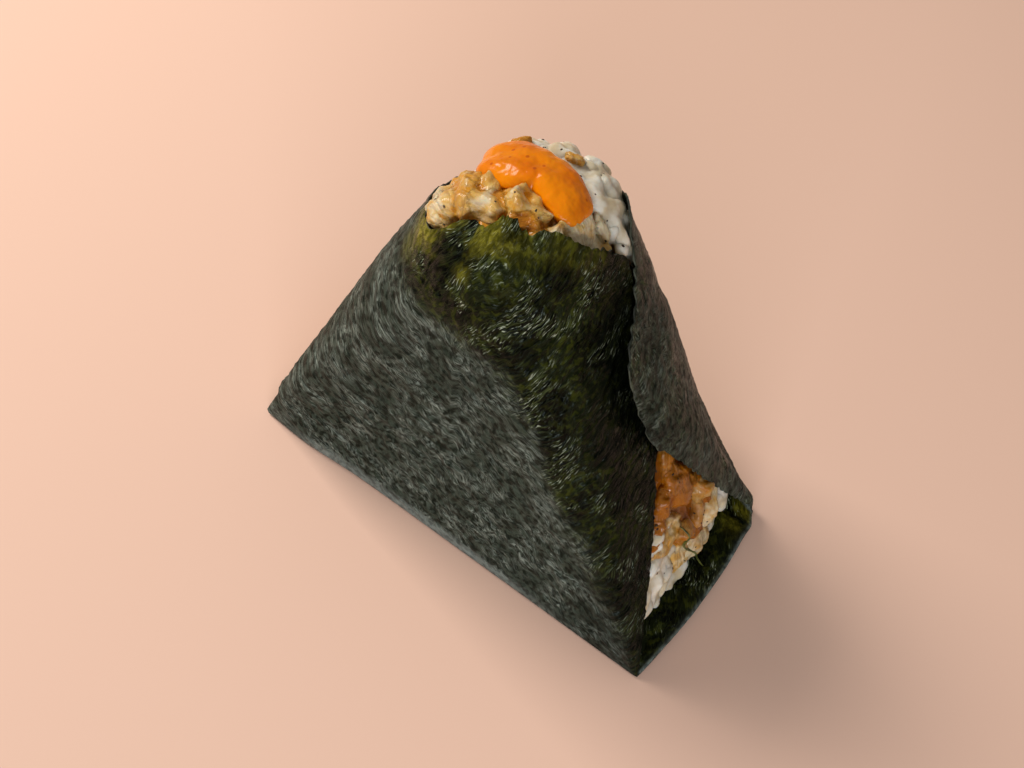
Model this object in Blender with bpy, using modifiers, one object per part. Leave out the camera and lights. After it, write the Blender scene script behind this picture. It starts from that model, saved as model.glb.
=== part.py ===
"""Spicy chicken onigiri: a triangular rice ball in a wrapper made of one strip of nori.

The strip runs up the front, under the base and up the back. Its corners are folded over the
two slanted sides, the back pair on top of the front pair, which leaves a low triangular window
on each side. The rounded top stays open and carries chicken and a dollop of orange sauce.
Lengths are in metres, +Z is up, the front panel faces -Y and the origin is the base's middle.
"""

import math
import random

import bmesh
import bpy
import numpy as np
from mathutils import Matrix, Vector
from mathutils.bvhtree import BVHTree

MM = 0.001

# Driving dimensions of the strip, half of a 190 x 210 mm sheet of nori
STRIP_WIDTH = 95 * MM
BASE_DEPTH = 46 * MM
FRONT_HEIGHT = 87.5 * MM
BACK_HEIGHT = 71 * MM
NORI_THICKNESS = 0.5 * MM

# The rounded top of the rice ball, an ellipsoid that the panels bend over
TOP_CENTRE = np.array([-2.2, 0.0, 71.0]) * MM
TOP_RADII = np.array([16.4, 19.6, 15.0]) * MM

# How the folded strip lies
FLAP_CLEARANCE = 0.9 * MM
RIGHT_FLAP_LIFT = 2.6 * MM
LEFT_FLAP_LIFT = 0.6 * MM
FLAP_OVERLAP = 7 * MM
PRESSED_FOLD = 1.2 * MM
BASE_BULGE = 1.8 * MM
CRINKLE = 0.25 * MM

# The food inside
GAP = 0.3 * MM
FOOD_FLOOR = NORI_THICKNESS + 0.5 * MM
FOOD_HALF_LENGTH = 43.5 * MM
FOOD_MIDDLE_HEIGHT = 30 * MM
NORI_TO_FOOD = 1.2 * MM
TOP_INSET = 0.7 * MM
TOP_DROP = 3.0 * MM
FILLING_FLOOR = 5 * MM

# Small pieces
GRAIN_LENGTH = 6.0 * MM
GRAIN_WIDTH = 3.0 * MM
GRAIN_SPACING = 3.9 * MM
LUMP_SPACING = 5.2 * MM
SAUCE_THICKNESS = 2.8 * MM

random.seed(7)


def smooth(value, low, high):
    """Ease from 0 at low to 1 at high."""
    t = np.clip((np.asarray(value, float) - low) / (high - low), 0, 1)
    return t * t * (3 - 2 * t)


def unit(vectors):
    return vectors / np.linalg.norm(vectors, axis=-1, keepdims=True)


def directions(around, upward):
    """Unit vectors on a lattice of longitudes and latitudes, without the poles."""
    turn = np.arange(around) * 2 * math.pi / around
    rise = (np.arange(1, upward) / upward - 0.5) * math.pi
    rise, turn = np.meshgrid(rise, turn, indexing="ij")
    return np.stack(
        [np.cos(rise) * np.cos(turn), np.cos(rise) * np.sin(turn), np.sin(rise)], -1
    ).reshape(-1, 3)


class TangentForm:
    """A convex form given by its farthest reach in every direction."""

    def __init__(self, support, middle, normals):
        self.middle = middle
        self.normals = normals
        self.slack = support(normals) - normals @ middle

    def surface(self, rays):
        """Where rays from the middle leave the form: the nearest of its tangent planes."""
        facing = rays @ self.normals.T
        distance = np.where(facing > 0.02, self.slack / np.maximum(facing, 0.02), 1.0)
        return self.middle + rays * distance.min(axis=1)[:, None]


# Paper folding: where a point of the flat strip lies once it is wrapped


class FoldedCorner:
    """One base corner and the panel folded round it.

    Straight lines drawn on the strip from the corner stay straight. With growing angle from the
    base edge they lie in the upright panel, then on a cone that touches the rounded top, then
    in the slanted side. Past its contact a line follows the rounded top.
    """

    def __init__(self, end, face, steps=24):
        self.end = end
        self.corner = np.array([end * STRIP_WIDTH / 2, face * BASE_DEPTH / 2, NORI_THICKNESS])
        first = self.touch_point(1, face * BASE_DEPTH / 2)
        last = self.touch_point(0, end * STRIP_WIDTH / 2)
        contact = self.contact_curve(first, last, steps)
        self.lines = unit(contact - self.corner)
        self.normals = unit((contact - TOP_CENTRE) / TOP_RADII**2)
        turns = np.arccos(np.clip((self.lines[1:] * self.lines[:-1]).sum(1), -1, 1))
        self.along_base = np.array([-end, 0.0, 0.0])
        self.along_end = np.array([0.0, -face, 0.0])
        start = math.acos(self.lines[0] @ self.along_base)
        self.angles = start + np.r_[0, np.cumsum(turns)]
        self.total = self.angles[-1] + math.acos(self.lines[-1] @ self.along_end)
        self.up_panel = unit(self.lines[0] - (self.lines[0] @ self.along_base) * self.along_base)
        self.up_side = unit(self.lines[-1] - (self.lines[-1] @ self.along_end) * self.along_end)

    @staticmethod
    def touch_point(axis, edge):
        """Where the plane that leans in from a base edge first touches the rounded top."""
        across = (edge - TOP_CENTRE[axis]) / TOP_RADII[axis]
        below = (NORI_THICKNESS - TOP_CENTRE[2]) / TOP_RADII[2]
        turn = math.acos(1 / math.hypot(across, below))
        angle = math.atan2(below, across) + math.copysign(turn, edge)
        point = TOP_CENTRE.copy()
        point[axis] += TOP_RADII[axis] * math.cos(angle)
        point[2] += TOP_RADII[2] * math.sin(angle)
        return point

    def contact_curve(self, first, last, steps):
        """Points where lines from the corner graze the rounded top, between two of them."""
        corner = (self.corner - TOP_CENTRE) / TOP_RADII
        middle = corner / (corner @ corner)
        radius = math.sqrt(1 - 1 / (corner @ corner))
        a = unit((first - TOP_CENTRE) / TOP_RADII - middle)
        b = unit((last - TOP_CENTRE) / TOP_RADII - middle)
        sweep = math.acos(np.clip(a @ b, -1, 1))
        t = np.linspace(0, 1, steps + 1)[:, None]
        arc = (np.sin((1 - t) * sweep) * a + np.sin(t * sweep) * b) / math.sin(sweep)
        return TOP_CENTRE + TOP_RADII * (middle + radius * arc)

    def direction(self, angle):
        panel = np.cos(angle)[:, None] * self.along_base + np.sin(angle)[:, None] * self.up_panel
        rest = self.total - angle
        side = np.cos(rest)[:, None] * self.along_end + np.sin(rest)[:, None] * self.up_side
        cone = unit(np.stack([np.interp(angle, self.angles, c) for c in self.lines.T], -1))
        in_panel = (angle <= self.angles[0])[:, None]
        in_side = (angle >= self.angles[-1])[:, None]
        return np.where(in_panel, panel, np.where(in_side, side, cone))

    def place(self, reach, angle):
        line = self.direction(angle)
        step = line / TOP_RADII
        start = (self.corner - TOP_CENTRE) / TOP_RADII
        speed = np.linalg.norm(step, axis=1)
        contact = -(step @ start) / speed**2
        nearest = start + contact[:, None] * step
        radius = np.linalg.norm(nearest, axis=1)
        turn = ((reach - contact) * speed / radius)[:, None]
        forward = step / speed[:, None]
        outward = nearest / radius[:, None]
        ball = (outward * np.cos(turn) + forward * np.sin(turn)) * radius[:, None]
        straight = self.corner + reach[:, None] * line
        touches = (smooth(radius, 1.2, 1.0) * (reach > contact))[:, None]
        return touches * (TOP_CENTRE + TOP_RADII * ball) + (1 - touches) * straight


CORNERS = {(end, face): FoldedCorner(end, face) for end in (-1, 1) for face in (-1, 1)}
FOLD_NORMALS = np.vstack([corner.normals for corner in CORNERS.values()])
ALL_ROUND = np.vstack([directions(72, 48), FOLD_NORMALS, [[0, 0, -1], [0, 0, 1]]])


def wrap_support(normals):
    """Farthest reach of the strip's inner side: the base rectangle or the rounded top."""
    base = STRIP_WIDTH / 2 * np.abs(normals[:, 0]) + BASE_DEPTH / 2 * np.abs(normals[:, 1])
    base = base + NORI_THICKNESS * normals[:, 2]
    top = normals @ TOP_CENTRE + np.linalg.norm(normals * TOP_RADII, axis=1)
    return np.maximum(base, top)


wrap_form = TangentForm(wrap_support, np.array([-2.2, 0.0, 48.0]) * MM, ALL_ROUND)


def fold(x, height, face):
    """Wrapped place of strip points: x across the strip, height up the panel of that face."""
    places = []
    for end in (-1, 1):
        away = STRIP_WIDTH / 2 - end * x
        corner = CORNERS[end, face]
        places.append(corner.place(np.hypot(away, height), np.arctan2(height, away)))
    share = smooth(x, -12 * MM, 8 * MM)[:, None]
    place = (1 - share) * places[0] + share * places[1]
    over_top = smooth(height, 58 * MM, 68 * MM)[:, None]
    on_form = wrap_form.surface(unit(place - wrap_form.middle))
    return (1 - over_top) * place + over_top * on_form


def fold_normal(x, height, face):
    """Direction out of the food at a wrapped strip point."""
    d = 0.4 * MM
    across = fold(x + d, height, face) - fold(x - d, height, face)
    upward = fold(x, height + d, face) - fold(x, height - d, face)
    return unit(np.cross(across, upward) * -face)


def top_edge(x, face):
    """Height of the strip's uneven cut end above the base fold."""
    ripple = 0.7 * MM * np.sin(x / (2.1 * MM)) * smooth(np.abs(x), 2 * MM, 6 * MM)
    if face < 0:
        left = 9 * MM * smooth(-x, 1 * MM, 15 * MM)
        right = 4 * MM * smooth(x, 14 * MM, 30 * MM)
        return FRONT_HEIGHT - left - right + ripple
    rise = 7 * MM * smooth(x, 3 * MM, 11 * MM) - 6 * MM * smooth(-x, 4 * MM, 14 * MM)
    slope = 6 * MM * smooth(np.abs(x), 12 * MM, 32 * MM)
    corner = 17 * MM * (np.clip(np.abs(x) - 33 * MM, 0, None) / (14.5 * MM)) ** 2
    return BACK_HEIGHT + rise - slope - corner + ripple


def crinkle(x, height, face):
    """Shallow waves that the sheet keeps from its drying and folding."""
    a = np.sin(x / (5.3 * MM) + 1.7 * np.sin(height / (9 * MM)) + face)
    b = np.sin(height / (6.1 * MM) + 1.3 * np.sin(x / (8 * MM)) + 2 * face)
    c = np.sin((x + height) / (3.7 * MM) + face)
    return CRINKLE * (0.5 * a + 0.5 * b + 0.3 * c)


def sheet_offset(x, height, face):
    """How far a strip point stands off the wrapped form."""
    away = STRIP_WIDTH / 2 - np.abs(x)
    reach = np.hypot(away, height)
    angle = np.arctan2(height, away)
    free = smooth(reach, 9 * MM, 26 * MM)
    offset = crinkle(x, height, face) * free * smooth(height, 0, 10 * MM)
    if face > 0:
        first = math.radians(70) - math.radians(13) * smooth(reach, 45 * MM, 72 * MM)
        over_front = smooth(angle, first, first + math.radians(9))
        offset = offset + FLAP_CLEARANCE * over_front * free
        tip = smooth(angle, math.radians(70), math.radians(84)) * smooth(height, 18 * MM, 50 * MM)
        offset = offset + np.where(x > 0, RIGHT_FLAP_LIFT, LEFT_FLAP_LIFT) * tip
        fold_line = np.exp(-(((angle - math.radians(65)) / math.radians(8)) ** 2))
        offset = offset - PRESSED_FOLD * fold_line * free * smooth(reach, 75 * MM, 50 * MM)
    else:
        offset = offset * (1 - 0.8 * smooth(angle, math.radians(60), math.radians(72)))
    return offset


# Mesh helpers


def material(name, colour, roughness, metallic=0.0):
    result = bpy.data.materials.new(name)
    result.use_nodes = True
    shader = result.node_tree.nodes["Principled BSDF"]
    shader.inputs["Base Color"].default_value = (*colour, 1)
    shader.inputs["Roughness"].default_value = roughness
    shader.inputs["Metallic"].default_value = metallic
    return result


def new_object(name, vertices, faces, collection, look=None):
    mesh = bpy.data.meshes.new(name)
    mesh.from_pydata([tuple(v) for v in vertices], [], [tuple(f) for f in faces])
    if look:
        mesh.materials.append(look)
    result = bpy.data.objects.new(name, mesh)
    collection.objects.link(result)
    return result


def grid_faces(rows, columns, first=0, flip=False):
    """Quads of a rows x columns lattice of vertices."""
    quads = []
    for i in range(rows - 1):
        for j in range(columns - 1):
            a = first + i * columns + j
            quad = (a, a + 1, a + columns + 1, a + columns)
            quads.append(quad[::-1] if flip else quad)
    return quads


def weld(target, distance=0.01 * MM):
    work = bmesh.new()
    work.from_mesh(target.data)
    bmesh.ops.remove_doubles(work, verts=work.verts, dist=distance)
    bmesh.ops.recalc_face_normals(work, faces=work.faces)
    work.to_mesh(target.data)
    work.free()


def keep_main_body(target):
    """Drop loose scraps and sealed hollows that a Boolean leaves, and close slits."""
    work = bmesh.new()
    work.from_mesh(target.data)
    bmesh.ops.triangulate(work, faces=work.faces)
    bmesh.ops.remove_doubles(work, verts=work.verts, dist=0.002 * MM)
    bmesh.ops.dissolve_degenerate(work, edges=work.edges, dist=0.002 * MM)
    left = set(work.verts)
    groups = []
    while left:
        group = {left.pop()}
        edge_of_group = list(group)
        while edge_of_group:
            for edge in edge_of_group.pop().link_edges:
                for vertex in edge.verts:
                    if vertex in left:
                        left.remove(vertex)
                        group.add(vertex)
                        edge_of_group.append(vertex)
        groups.append(group)
    groups.sort(key=len)
    scraps = [v for group in groups[:-1] for v in group]
    bmesh.ops.delete(work, geom=scraps, context="VERTS")
    open_edges = [edge for edge in work.edges if edge.is_boundary]
    bmesh.ops.holes_fill(work, edges=open_edges)
    bmesh.ops.triangulate(work, faces=work.faces)
    work.to_mesh(target.data)
    work.free()


def apply_modifiers(target):
    graph = bpy.context.evaluated_depsgraph_get()
    mesh = bpy.data.meshes.new_from_object(target.evaluated_get(graph))
    target.modifiers.clear()
    target.data = mesh


def boolean(target, operation, cutter=None, collection=None):
    modifier = target.modifiers.new(operation.title(), "BOOLEAN")
    modifier.operation = operation
    if cutter:
        modifier.object = cutter
    else:
        modifier.operand_type = "COLLECTION"
        modifier.collection = collection
    apply_modifiers(target)
    keep_main_body(target)


def surface_tree(target, grow=0.0):
    """A search tree of the object's faces, each moved out by grow."""
    mesh = target.data
    vertices = [v.co + v.normal * grow for v in mesh.vertices]
    return BVHTree.FromPolygons(vertices, [p.vertices[:] for p in mesh.polygons])


def clear_collection(collection):
    for member in list(collection.objects):
        bpy.data.objects.remove(member)


# Scene set-up

for old in list(bpy.data.objects):
    bpy.data.objects.remove(old)

onigiri = bpy.data.collections.new("spicy_chicken_onigiri")
cutters = bpy.data.collections.new("cutters")
pieces = bpy.data.collections.new("pieces_to_fuse")
for group in (onigiri, cutters, pieces):
    bpy.context.scene.collection.children.link(group)

nori_look = material("nori", (0.035, 0.042, 0.028), 0.55)
rice_look = material("rice", (0.80, 0.77, 0.68), 0.45)
chicken_look = material("chicken", (0.72, 0.47, 0.24), 0.45)
sauce_look = material("orange_sauce", (0.85, 0.26, 0.02), 0.22)


# Nori wrapper: fans of straight lines from each base corner, and the panel under the base

FAN_ROWS = 9
UPPER_ROWS = 8
BASE_ROWS = 7
FAN_HEIGHT = 50 * MM
SPLIT = math.atan(FAN_HEIGHT / (STRIP_WIDTH / 2))
SPLIT_COLUMN = 4
FRONT_NARROWING = math.radians(3.4)
BACK_NARROWING = math.radians(1.4)
LINE_ANGLES = np.r_[
    np.linspace(0, SPLIT, SPLIT_COLUMN + 1),
    np.radians([50, 54, 57.5, 61, 64.5, 68, 71.5, 75, 79, 83, 86.5, 90]),
]


def cut_height(x, end, face):
    """Greatest height of a line up the strip: its cut end, or where the other flap hides it."""
    low, high = np.full(x.shape, 40 * MM), np.full(x.shape, 100 * MM)
    corner = CORNERS[end, face]
    for _ in range(30):
        height = (low + high) / 2
        away = STRIP_WIDTH / 2 - end * x
        reach, angle = np.hypot(away, height), np.arctan2(height, away)
        depth = reach * np.cos(corner.total - angle) - BASE_DEPTH / 2
        hidden = (face < 0) & (angle > math.radians(66)) & (depth > FLAP_OVERLAP)
        inside = (height < top_edge(x, face)) & ~hidden
        low, high = np.where(inside, height, low), np.where(inside, high, height)
    return low


def panel(end, face):
    """Strip points of half a panel: a fan round the base corner, then straight columns."""
    reach_end = np.minimum(
        STRIP_WIDTH / 2 / np.maximum(np.cos(LINE_ANGLES), 0.01),
        FAN_HEIGHT / np.maximum(np.sin(LINE_ANGLES), 0.01),
    )
    reach = np.linspace(0, 1, FAN_ROWS)[:, None] * reach_end[None, :]
    to_edge = np.clip(LINE_ANGLES - math.radians(75), 0, None) / math.radians(15)
    narrowing = (FRONT_NARROWING if face < 0 else BACK_NARROWING) * to_edge
    angle = LINE_ANGLES[None, :] - narrowing * smooth(reach, 10 * MM, 50 * MM)
    x = end * (STRIP_WIDTH / 2 - reach * np.cos(angle))
    height = reach * np.sin(angle)
    start = x[-1:, SPLIT_COLUMN:], height[-1:, SPLIT_COLUMN:]
    climb = np.linspace(0, 1, UPPER_ROWS)[:, None]
    upper_x = np.repeat(start[0], UPPER_ROWS, axis=0)
    upper_height = start[1] + climb * (cut_height(start[0], end, face) - start[1])
    return (x, height), (upper_x, upper_height)


sheet_vertices = []
sheet_faces = []
for (end, face), corner in CORNERS.items():
    for zone, (x, height) in enumerate(panel(end, face)):
        rows, columns = x.shape
        x, height = x.ravel(), height.ravel()
        place = fold(x, height, face)
        place += fold_normal(x, height, face) * sheet_offset(x, height, face)[:, None]
        if zone == 0:
            place[:columns] = corner.corner
        sheet_faces += grid_faces(rows, columns, len(sheet_vertices), flip=end * face > 0)
        sheet_vertices.extend(place)

half = np.linspace(0, 1, FAN_ROWS) * STRIP_WIDTH / 2
across = np.r_[half - STRIP_WIDTH / 2, (STRIP_WIDTH / 2 - half)[:-1][::-1]]
x, depth = np.meshgrid(across, np.linspace(-1, 1, BASE_ROWS))
bulge = BASE_BULGE * (1 - depth**2) * np.sign(x) * smooth(np.abs(x), 34 * MM, STRIP_WIDTH / 2)
base = np.stack([x + bulge, depth * BASE_DEPTH / 2, np.full(x.shape, NORI_THICKNESS)], -1)
first = len(sheet_vertices)
sheet_vertices.extend(base.reshape(-1, 3))
sheet_faces += grid_faces(BASE_ROWS, len(across), first, flip=True)

nori_wrap = new_object("nori_wrap", sheet_vertices, sheet_faces, onigiri, nori_look)
weld(nori_wrap)
thickness = nori_wrap.modifiers.new("Solidify", "SOLIDIFY")
thickness.thickness = NORI_THICKNESS
thickness.offset = 1


# Food hull: the smallest round-edged form over a base, a middle and the top


def food_support(normals):
    """Farthest reach of the food in each direction."""
    lean = (BASE_DEPTH / 2 - TOP_RADII[1]) / TOP_CENTRE[2]
    slant = (STRIP_WIDTH / 2 - TOP_RADII[0] + 0.6 * MM) / (TOP_CENTRE[2] + 4 * MM)
    reaches = []
    for height, half_length, rounding in (
        (FOOD_FLOOR, FOOD_HALF_LENGTH, 4 * MM),
        (FOOD_MIDDLE_HEIGHT, STRIP_WIDTH / 2 - slant * FOOD_MIDDLE_HEIGHT - 2.8 * MM, 11 * MM),
    ):
        level = height + rounding if height == FOOD_FLOOR else height
        half_depth = BASE_DEPTH / 2 - lean * level - NORI_TO_FOOD
        flat = (half_length - rounding) * np.abs(normals[:, 0])
        flat = flat + (half_depth - rounding) * np.abs(normals[:, 1])
        reaches.append(flat + level * normals[:, 2] + rounding)
    radii = TOP_RADII - np.array([TOP_INSET, TOP_INSET, TOP_DROP])
    reaches.append(normals @ TOP_CENTRE + np.linalg.norm(normals * radii, axis=1))
    return np.max(reaches, axis=0)


food_form = TangentForm(food_support, np.array([-0.5, 0.0, 33.0]) * MM, ALL_ROUND)


def hull_object(name, around, upward, collection, look):
    ring_points = food_form.surface(directions(around, upward))
    poles = food_form.surface(np.array([[0, 0, -1.0], [0, 0, 1.0]]))
    vertices = np.vstack([ring_points, poles])
    rings = upward - 1
    faces = []
    for i in range(rings - 1):
        for j in range(around):
            k = (j + 1) % around
            a, b = i * around, (i + 1) * around
            faces.append((a + j, a + k, b + k, b + j))
    south, north = rings * around, rings * around + 1
    last = (rings - 1) * around
    for j in range(around):
        k = (j + 1) % around
        faces.append((south, k, j))
        faces.append((north, last + j, last + k))
    return new_object(name, vertices, faces, collection, look)


def filling_block(name, margin, collection, look=None):
    """The wavy slab that the filling takes up, wider by margin on every side."""
    columns, rows = 9, 11
    x, z = np.meshgrid(
        np.linspace(-60 * MM, 60 * MM, columns),
        np.r_[FILLING_FLOOR - margin, np.linspace(12 * MM, 100 * MM, rows - 1)],
    )
    wave = 1.2 * MM * np.sin(x / (9 * MM) + z / (11 * MM))
    front = -3 * MM - 4 * MM * smooth(z, 14 * MM, 34 * MM) - 40 * MM * smooth(z, 60 * MM, 74 * MM)
    back = 15 * MM - 7 * MM * smooth(z, 16 * MM, 40 * MM) - 4.5 * MM * smooth(z, 60 * MM, 76 * MM)
    front_side = np.stack([x, front + wave - margin, z], -1).reshape(-1, 3)
    back_side = np.stack([x, back + wave + margin, z], -1).reshape(-1, 3)
    count = len(front_side)
    quads = grid_faces(rows, columns) + grid_faces(rows, columns, count, flip=True)
    faces = [corners for a, b, c, d in quads for corners in ((a, b, c), (a, c, d))]
    rim = list(range(columns))
    rim += [i * columns + columns - 1 for i in range(1, rows)]
    rim += [(rows - 1) * columns + j for j in range(columns - 2, -1, -1)]
    rim += [i * columns for i in range(rows - 2, 0, -1)]
    for a, b in zip(rim, rim[1:] + rim[:1]):
        faces.append((b, a, a + count, b + count))
    result = new_object(name, np.vstack([front_side, back_side]), faces, collection, look)
    weld(result)
    return result


# Orange sauce: a thick dollop lying on the bare top, with a lobe that runs to the right

SAUCE_MIDDLE = np.array([-2.6, 2.2]) * MM
SAUCE_SIZE = (9.4 * MM, 5.4 * MM)


def sauce_outline(turn):
    """Distance from the dollop's middle to its edge, seen from above."""

    def hill(at, width):
        return np.exp(-(((turn - math.radians(at) + math.pi) % (2 * math.pi) - math.pi) / width) ** 2)

    oval = 1 / np.hypot(np.cos(turn) / SAUCE_SIZE[0], np.sin(turn) / SAUCE_SIZE[1])
    lobes = 0.25 * hill(-24, 0.3) + 0.2 * hill(-152, 0.35) + 0.12 * hill(130, 0.4)
    return oval * (1 + lobes - 0.32 * hill(-70, 0.5))


food_top = hull_object("food_top", 40, 40, cutters, None)
food_tree = surface_tree(food_top)


def drop_on(tree, x, y):
    """Point and outward direction on the food below a place in plan."""
    hit, normal, _, _ = tree.ray_cast(Vector((x, y, 0.2)), Vector((0, 0, -1)))
    return hit, normal


AROUND = 26
SAUCE_RINGS = (0.0, 0.35, 0.62, 0.82, 0.94, 1.0)
turn = np.arange(AROUND) * 2 * math.pi / AROUND
sauce_vertices = []
for upper in (True, False):
    for ring in SAUCE_RINGS[::1 if upper else -1]:
        if ring == 1.0 and not upper:
            continue
        reach = ring * sauce_outline(turn)[:, None]
        spots = SAUCE_MIDDLE + reach * np.stack([np.cos(turn), np.sin(turn)], -1)
        if ring == 0:
            spots = spots[:1]
        depth = SAUCE_THICKNESS * (1 - ring**3.2) ** 0.55
        for x, y in spots:
            hit, normal = drop_on(food_tree, x, y)
            rise = GAP + (0.45 * MM + depth if upper else 0)
            sauce_vertices.append(hit + normal * rise)

sauce_faces = []
for j in range(AROUND):
    k = (j + 1) % AROUND
    sauce_faces.append((0, 1 + j, 1 + k))
bands = 2 * (len(SAUCE_RINGS) - 1) - 2
for i in range(bands):
    for j in range(AROUND):
        k = (j + 1) % AROUND
        a, b = 1 + i * AROUND, 1 + (i + 1) * AROUND
        sauce_faces.append((a + j, b + j, b + k, a + k))
last_ring = 1 + bands * AROUND
for j in range(AROUND):
    k = (j + 1) % AROUND
    sauce_faces.append((last_ring + j, len(sauce_vertices) - 1, last_ring + k))
sauce_dollop = new_object("sauce_dollop", sauce_vertices, sauce_faces, onigiri, sauce_look)
weld(sauce_dollop)


# Rice: the food hull with the place of the filling cut out

rice_body = hull_object("rice_body", 32, 20, onigiri, rice_look)
weld(rice_body)
filling_cut = filling_block("filling_cut", GAP, cutters)
boolean(rice_body, "DIFFERENCE", filling_cut)

# Chicken filling: a slab from window to window that opens out at the top

chicken_filling = hull_object("chicken_filling", 32, 20, onigiri, chicken_look)
weld(chicken_filling)
filling_form = filling_block("filling_form", 0, cutters)
boolean(chicken_filling, "INTERSECT", filling_form)
chicken_tree = surface_tree(chicken_filling)


def blocked(candidate, trees):
    """True if a small piece comes too near one of the solids."""
    tree = surface_tree(candidate, GAP)
    return any(tree.overlap(other) for other in trees)


def lay_piece(work, place, normal, spin, scale, collection):
    """A small piece from a unit shape, laid on a surface and turned about its normal."""
    facing = normal.to_track_quat("Z", "Y").to_matrix().to_4x4()
    turned = facing @ Matrix.Rotation(spin, 4, "Z") @ Matrix.Diagonal((*scale, 1))
    bmesh.ops.transform(work, verts=work.verts, matrix=Matrix.Translation(place) @ turned)
    mesh = bpy.data.meshes.new("piece")
    work.to_mesh(mesh)
    work.free()
    result = bpy.data.objects.new("piece", mesh)
    collection.objects.link(result)
    return result


def chunk(place, normal, size, spin, collection):
    """A rough lump of meat: a coarse ball, stretched and dented."""
    work = bmesh.new()
    bmesh.ops.create_icosphere(work, subdivisions=2, radius=0.5)
    for vertex in work.verts:
        vertex.co *= 1 + random.uniform(-0.24, 0.14)
    return lay_piece(work, place, normal, spin, size, collection)


def grain(place, normal, spin, collection):
    """One cooked grain of rice, few-sided."""
    work = bmesh.new()
    bmesh.ops.create_uvsphere(work, u_segments=5, v_segments=4, radius=0.5)
    bmesh.ops.rotate(work, verts=work.verts, matrix=Matrix.Rotation(math.pi / 2, 3, "Y"))
    size = (GRAIN_LENGTH, GRAIN_WIDTH, GRAIN_WIDTH)
    return lay_piece(work, place, normal, spin, size, collection)


def add_clear(make, trees, choices=(1.0, 0.85, 0.7, 0.55)):
    """Add the first version of a small piece that keeps clear of the other solids."""
    for factor in choices:
        piece = make(factor)
        if not blocked(piece, trees):
            return piece
        bpy.data.objects.remove(piece)
    return None


wrapped = new_object("wrapped", [], [], cutters)
graph = bpy.context.evaluated_depsgraph_get()
wrapped.data = bpy.data.meshes.new_from_object(nori_wrap.evaluated_get(graph))
nori_tree = surface_tree(wrapped)
sauce_tree = surface_tree(sauce_dollop)
rice_tree = surface_tree(rice_body)

# Lumps on top, each x, y in plan, length, width, height and turn
TOP_LUMPS = (
    (-13.6, -3.6, 6.0, 4.6, 4.4, 80),
    (-11.4, -6.6, 6.0, 5.0, 4.6, 20),
    (-13.6, -7.8, 5.0, 4.0, 3.5, 60),
    (-10.4, -10.6, 8.5, 5.0, 3.2, 30),
    (-6.6, -6.6, 8.5, 3.8, 3.6, -10),
    (-3.6, -10.0, 7.0, 5.5, 4.8, 40),
    (0.4, -5.0, 7.0, 5.5, 5.0, 10),
    (2.0, -8.6, 6.5, 5.0, 3.8, 0),
    (5.6, -5.8, 5.0, 4.0, 3.5, -30),
    (8.8, -2.6, 7.0, 5.2, 3.6, 50),
    (11.4, 0.2, 7.0, 5.0, 3.2, 70),
)
spots = []
for x, y, length, width, height, degrees in TOP_LUMPS:
    place, normal = drop_on(chicken_tree, x * MM, y * MM)

    def top_lump(factor):
        size = [factor * s * MM for s in (length, width, height)]
        return chunk(place, normal, size, math.radians(degrees), pieces)

    if add_clear(top_lump, (nori_tree, sauce_tree, rice_tree)):
        spots.append(place)

# Smaller scraps of meat between them
for _ in range(70):
    place, normal = drop_on(
        chicken_tree, random.uniform(-17 * MM, 14 * MM), random.uniform(-14 * MM, 3 * MM)
    )
    if place is None or any((place - spot).length < LUMP_SPACING * 0.8 for spot in spots):
        continue
    size = [random.uniform(*span) * MM for span in ((4, 6), (3, 4.5), (3, 4))]
    spin = random.uniform(0, math.pi)

    def scrap(factor):
        return chunk(place, normal, [factor * s for s in size], spin, pieces)

    if add_clear(scrap, (nori_tree, sauce_tree, rice_tree)):
        spots.append(place)

# Lumps where the filling shows in the two side windows
WINDOW_HEIGHT = 37 * MM
for end in (-1, 1):
    spots = []
    for _ in range(80):
        height = random.uniform(FILLING_FLOOR + 2 * MM, WINDOW_HEIGHT)
        y = random.uniform(-5 * MM, 15 * MM)
        start = Vector((end * 0.1, y, height))
        place, normal, _, _ = chicken_tree.ray_cast(start, Vector((-end, 0, 0)))
        if place is None or height / WINDOW_HEIGHT + abs(y) / (BASE_DEPTH / 2) > 1:
            continue
        if any((place - spot).length < LUMP_SPACING for spot in spots):
            continue
        size = [random.uniform(*span) * MM for span in ((6, 9.5), (4, 6), (3, 5))]
        spin = random.uniform(0, math.pi)

        def side_lump(factor):
            return chunk(place, normal, [factor * s for s in size], spin, pieces)

        if add_clear(side_lump, (nori_tree, rice_tree)):
            spots.append(place)
boolean(chicken_filling, "UNION", collection=pieces)
clear_collection(pieces)

# Grains where the rice shows: the back of the top and the foot of each window
chicken_tree = surface_tree(chicken_filling)


def first_hit(start, way):
    """Where a ray meets the rice, or nothing if the chicken covers it."""
    place, normal, _, distance = rice_tree.ray_cast(start, way)
    cover = chicken_tree.ray_cast(start, way)[3]
    if place is None or (cover is not None and cover < distance):
        return None, None
    return place, normal


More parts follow.
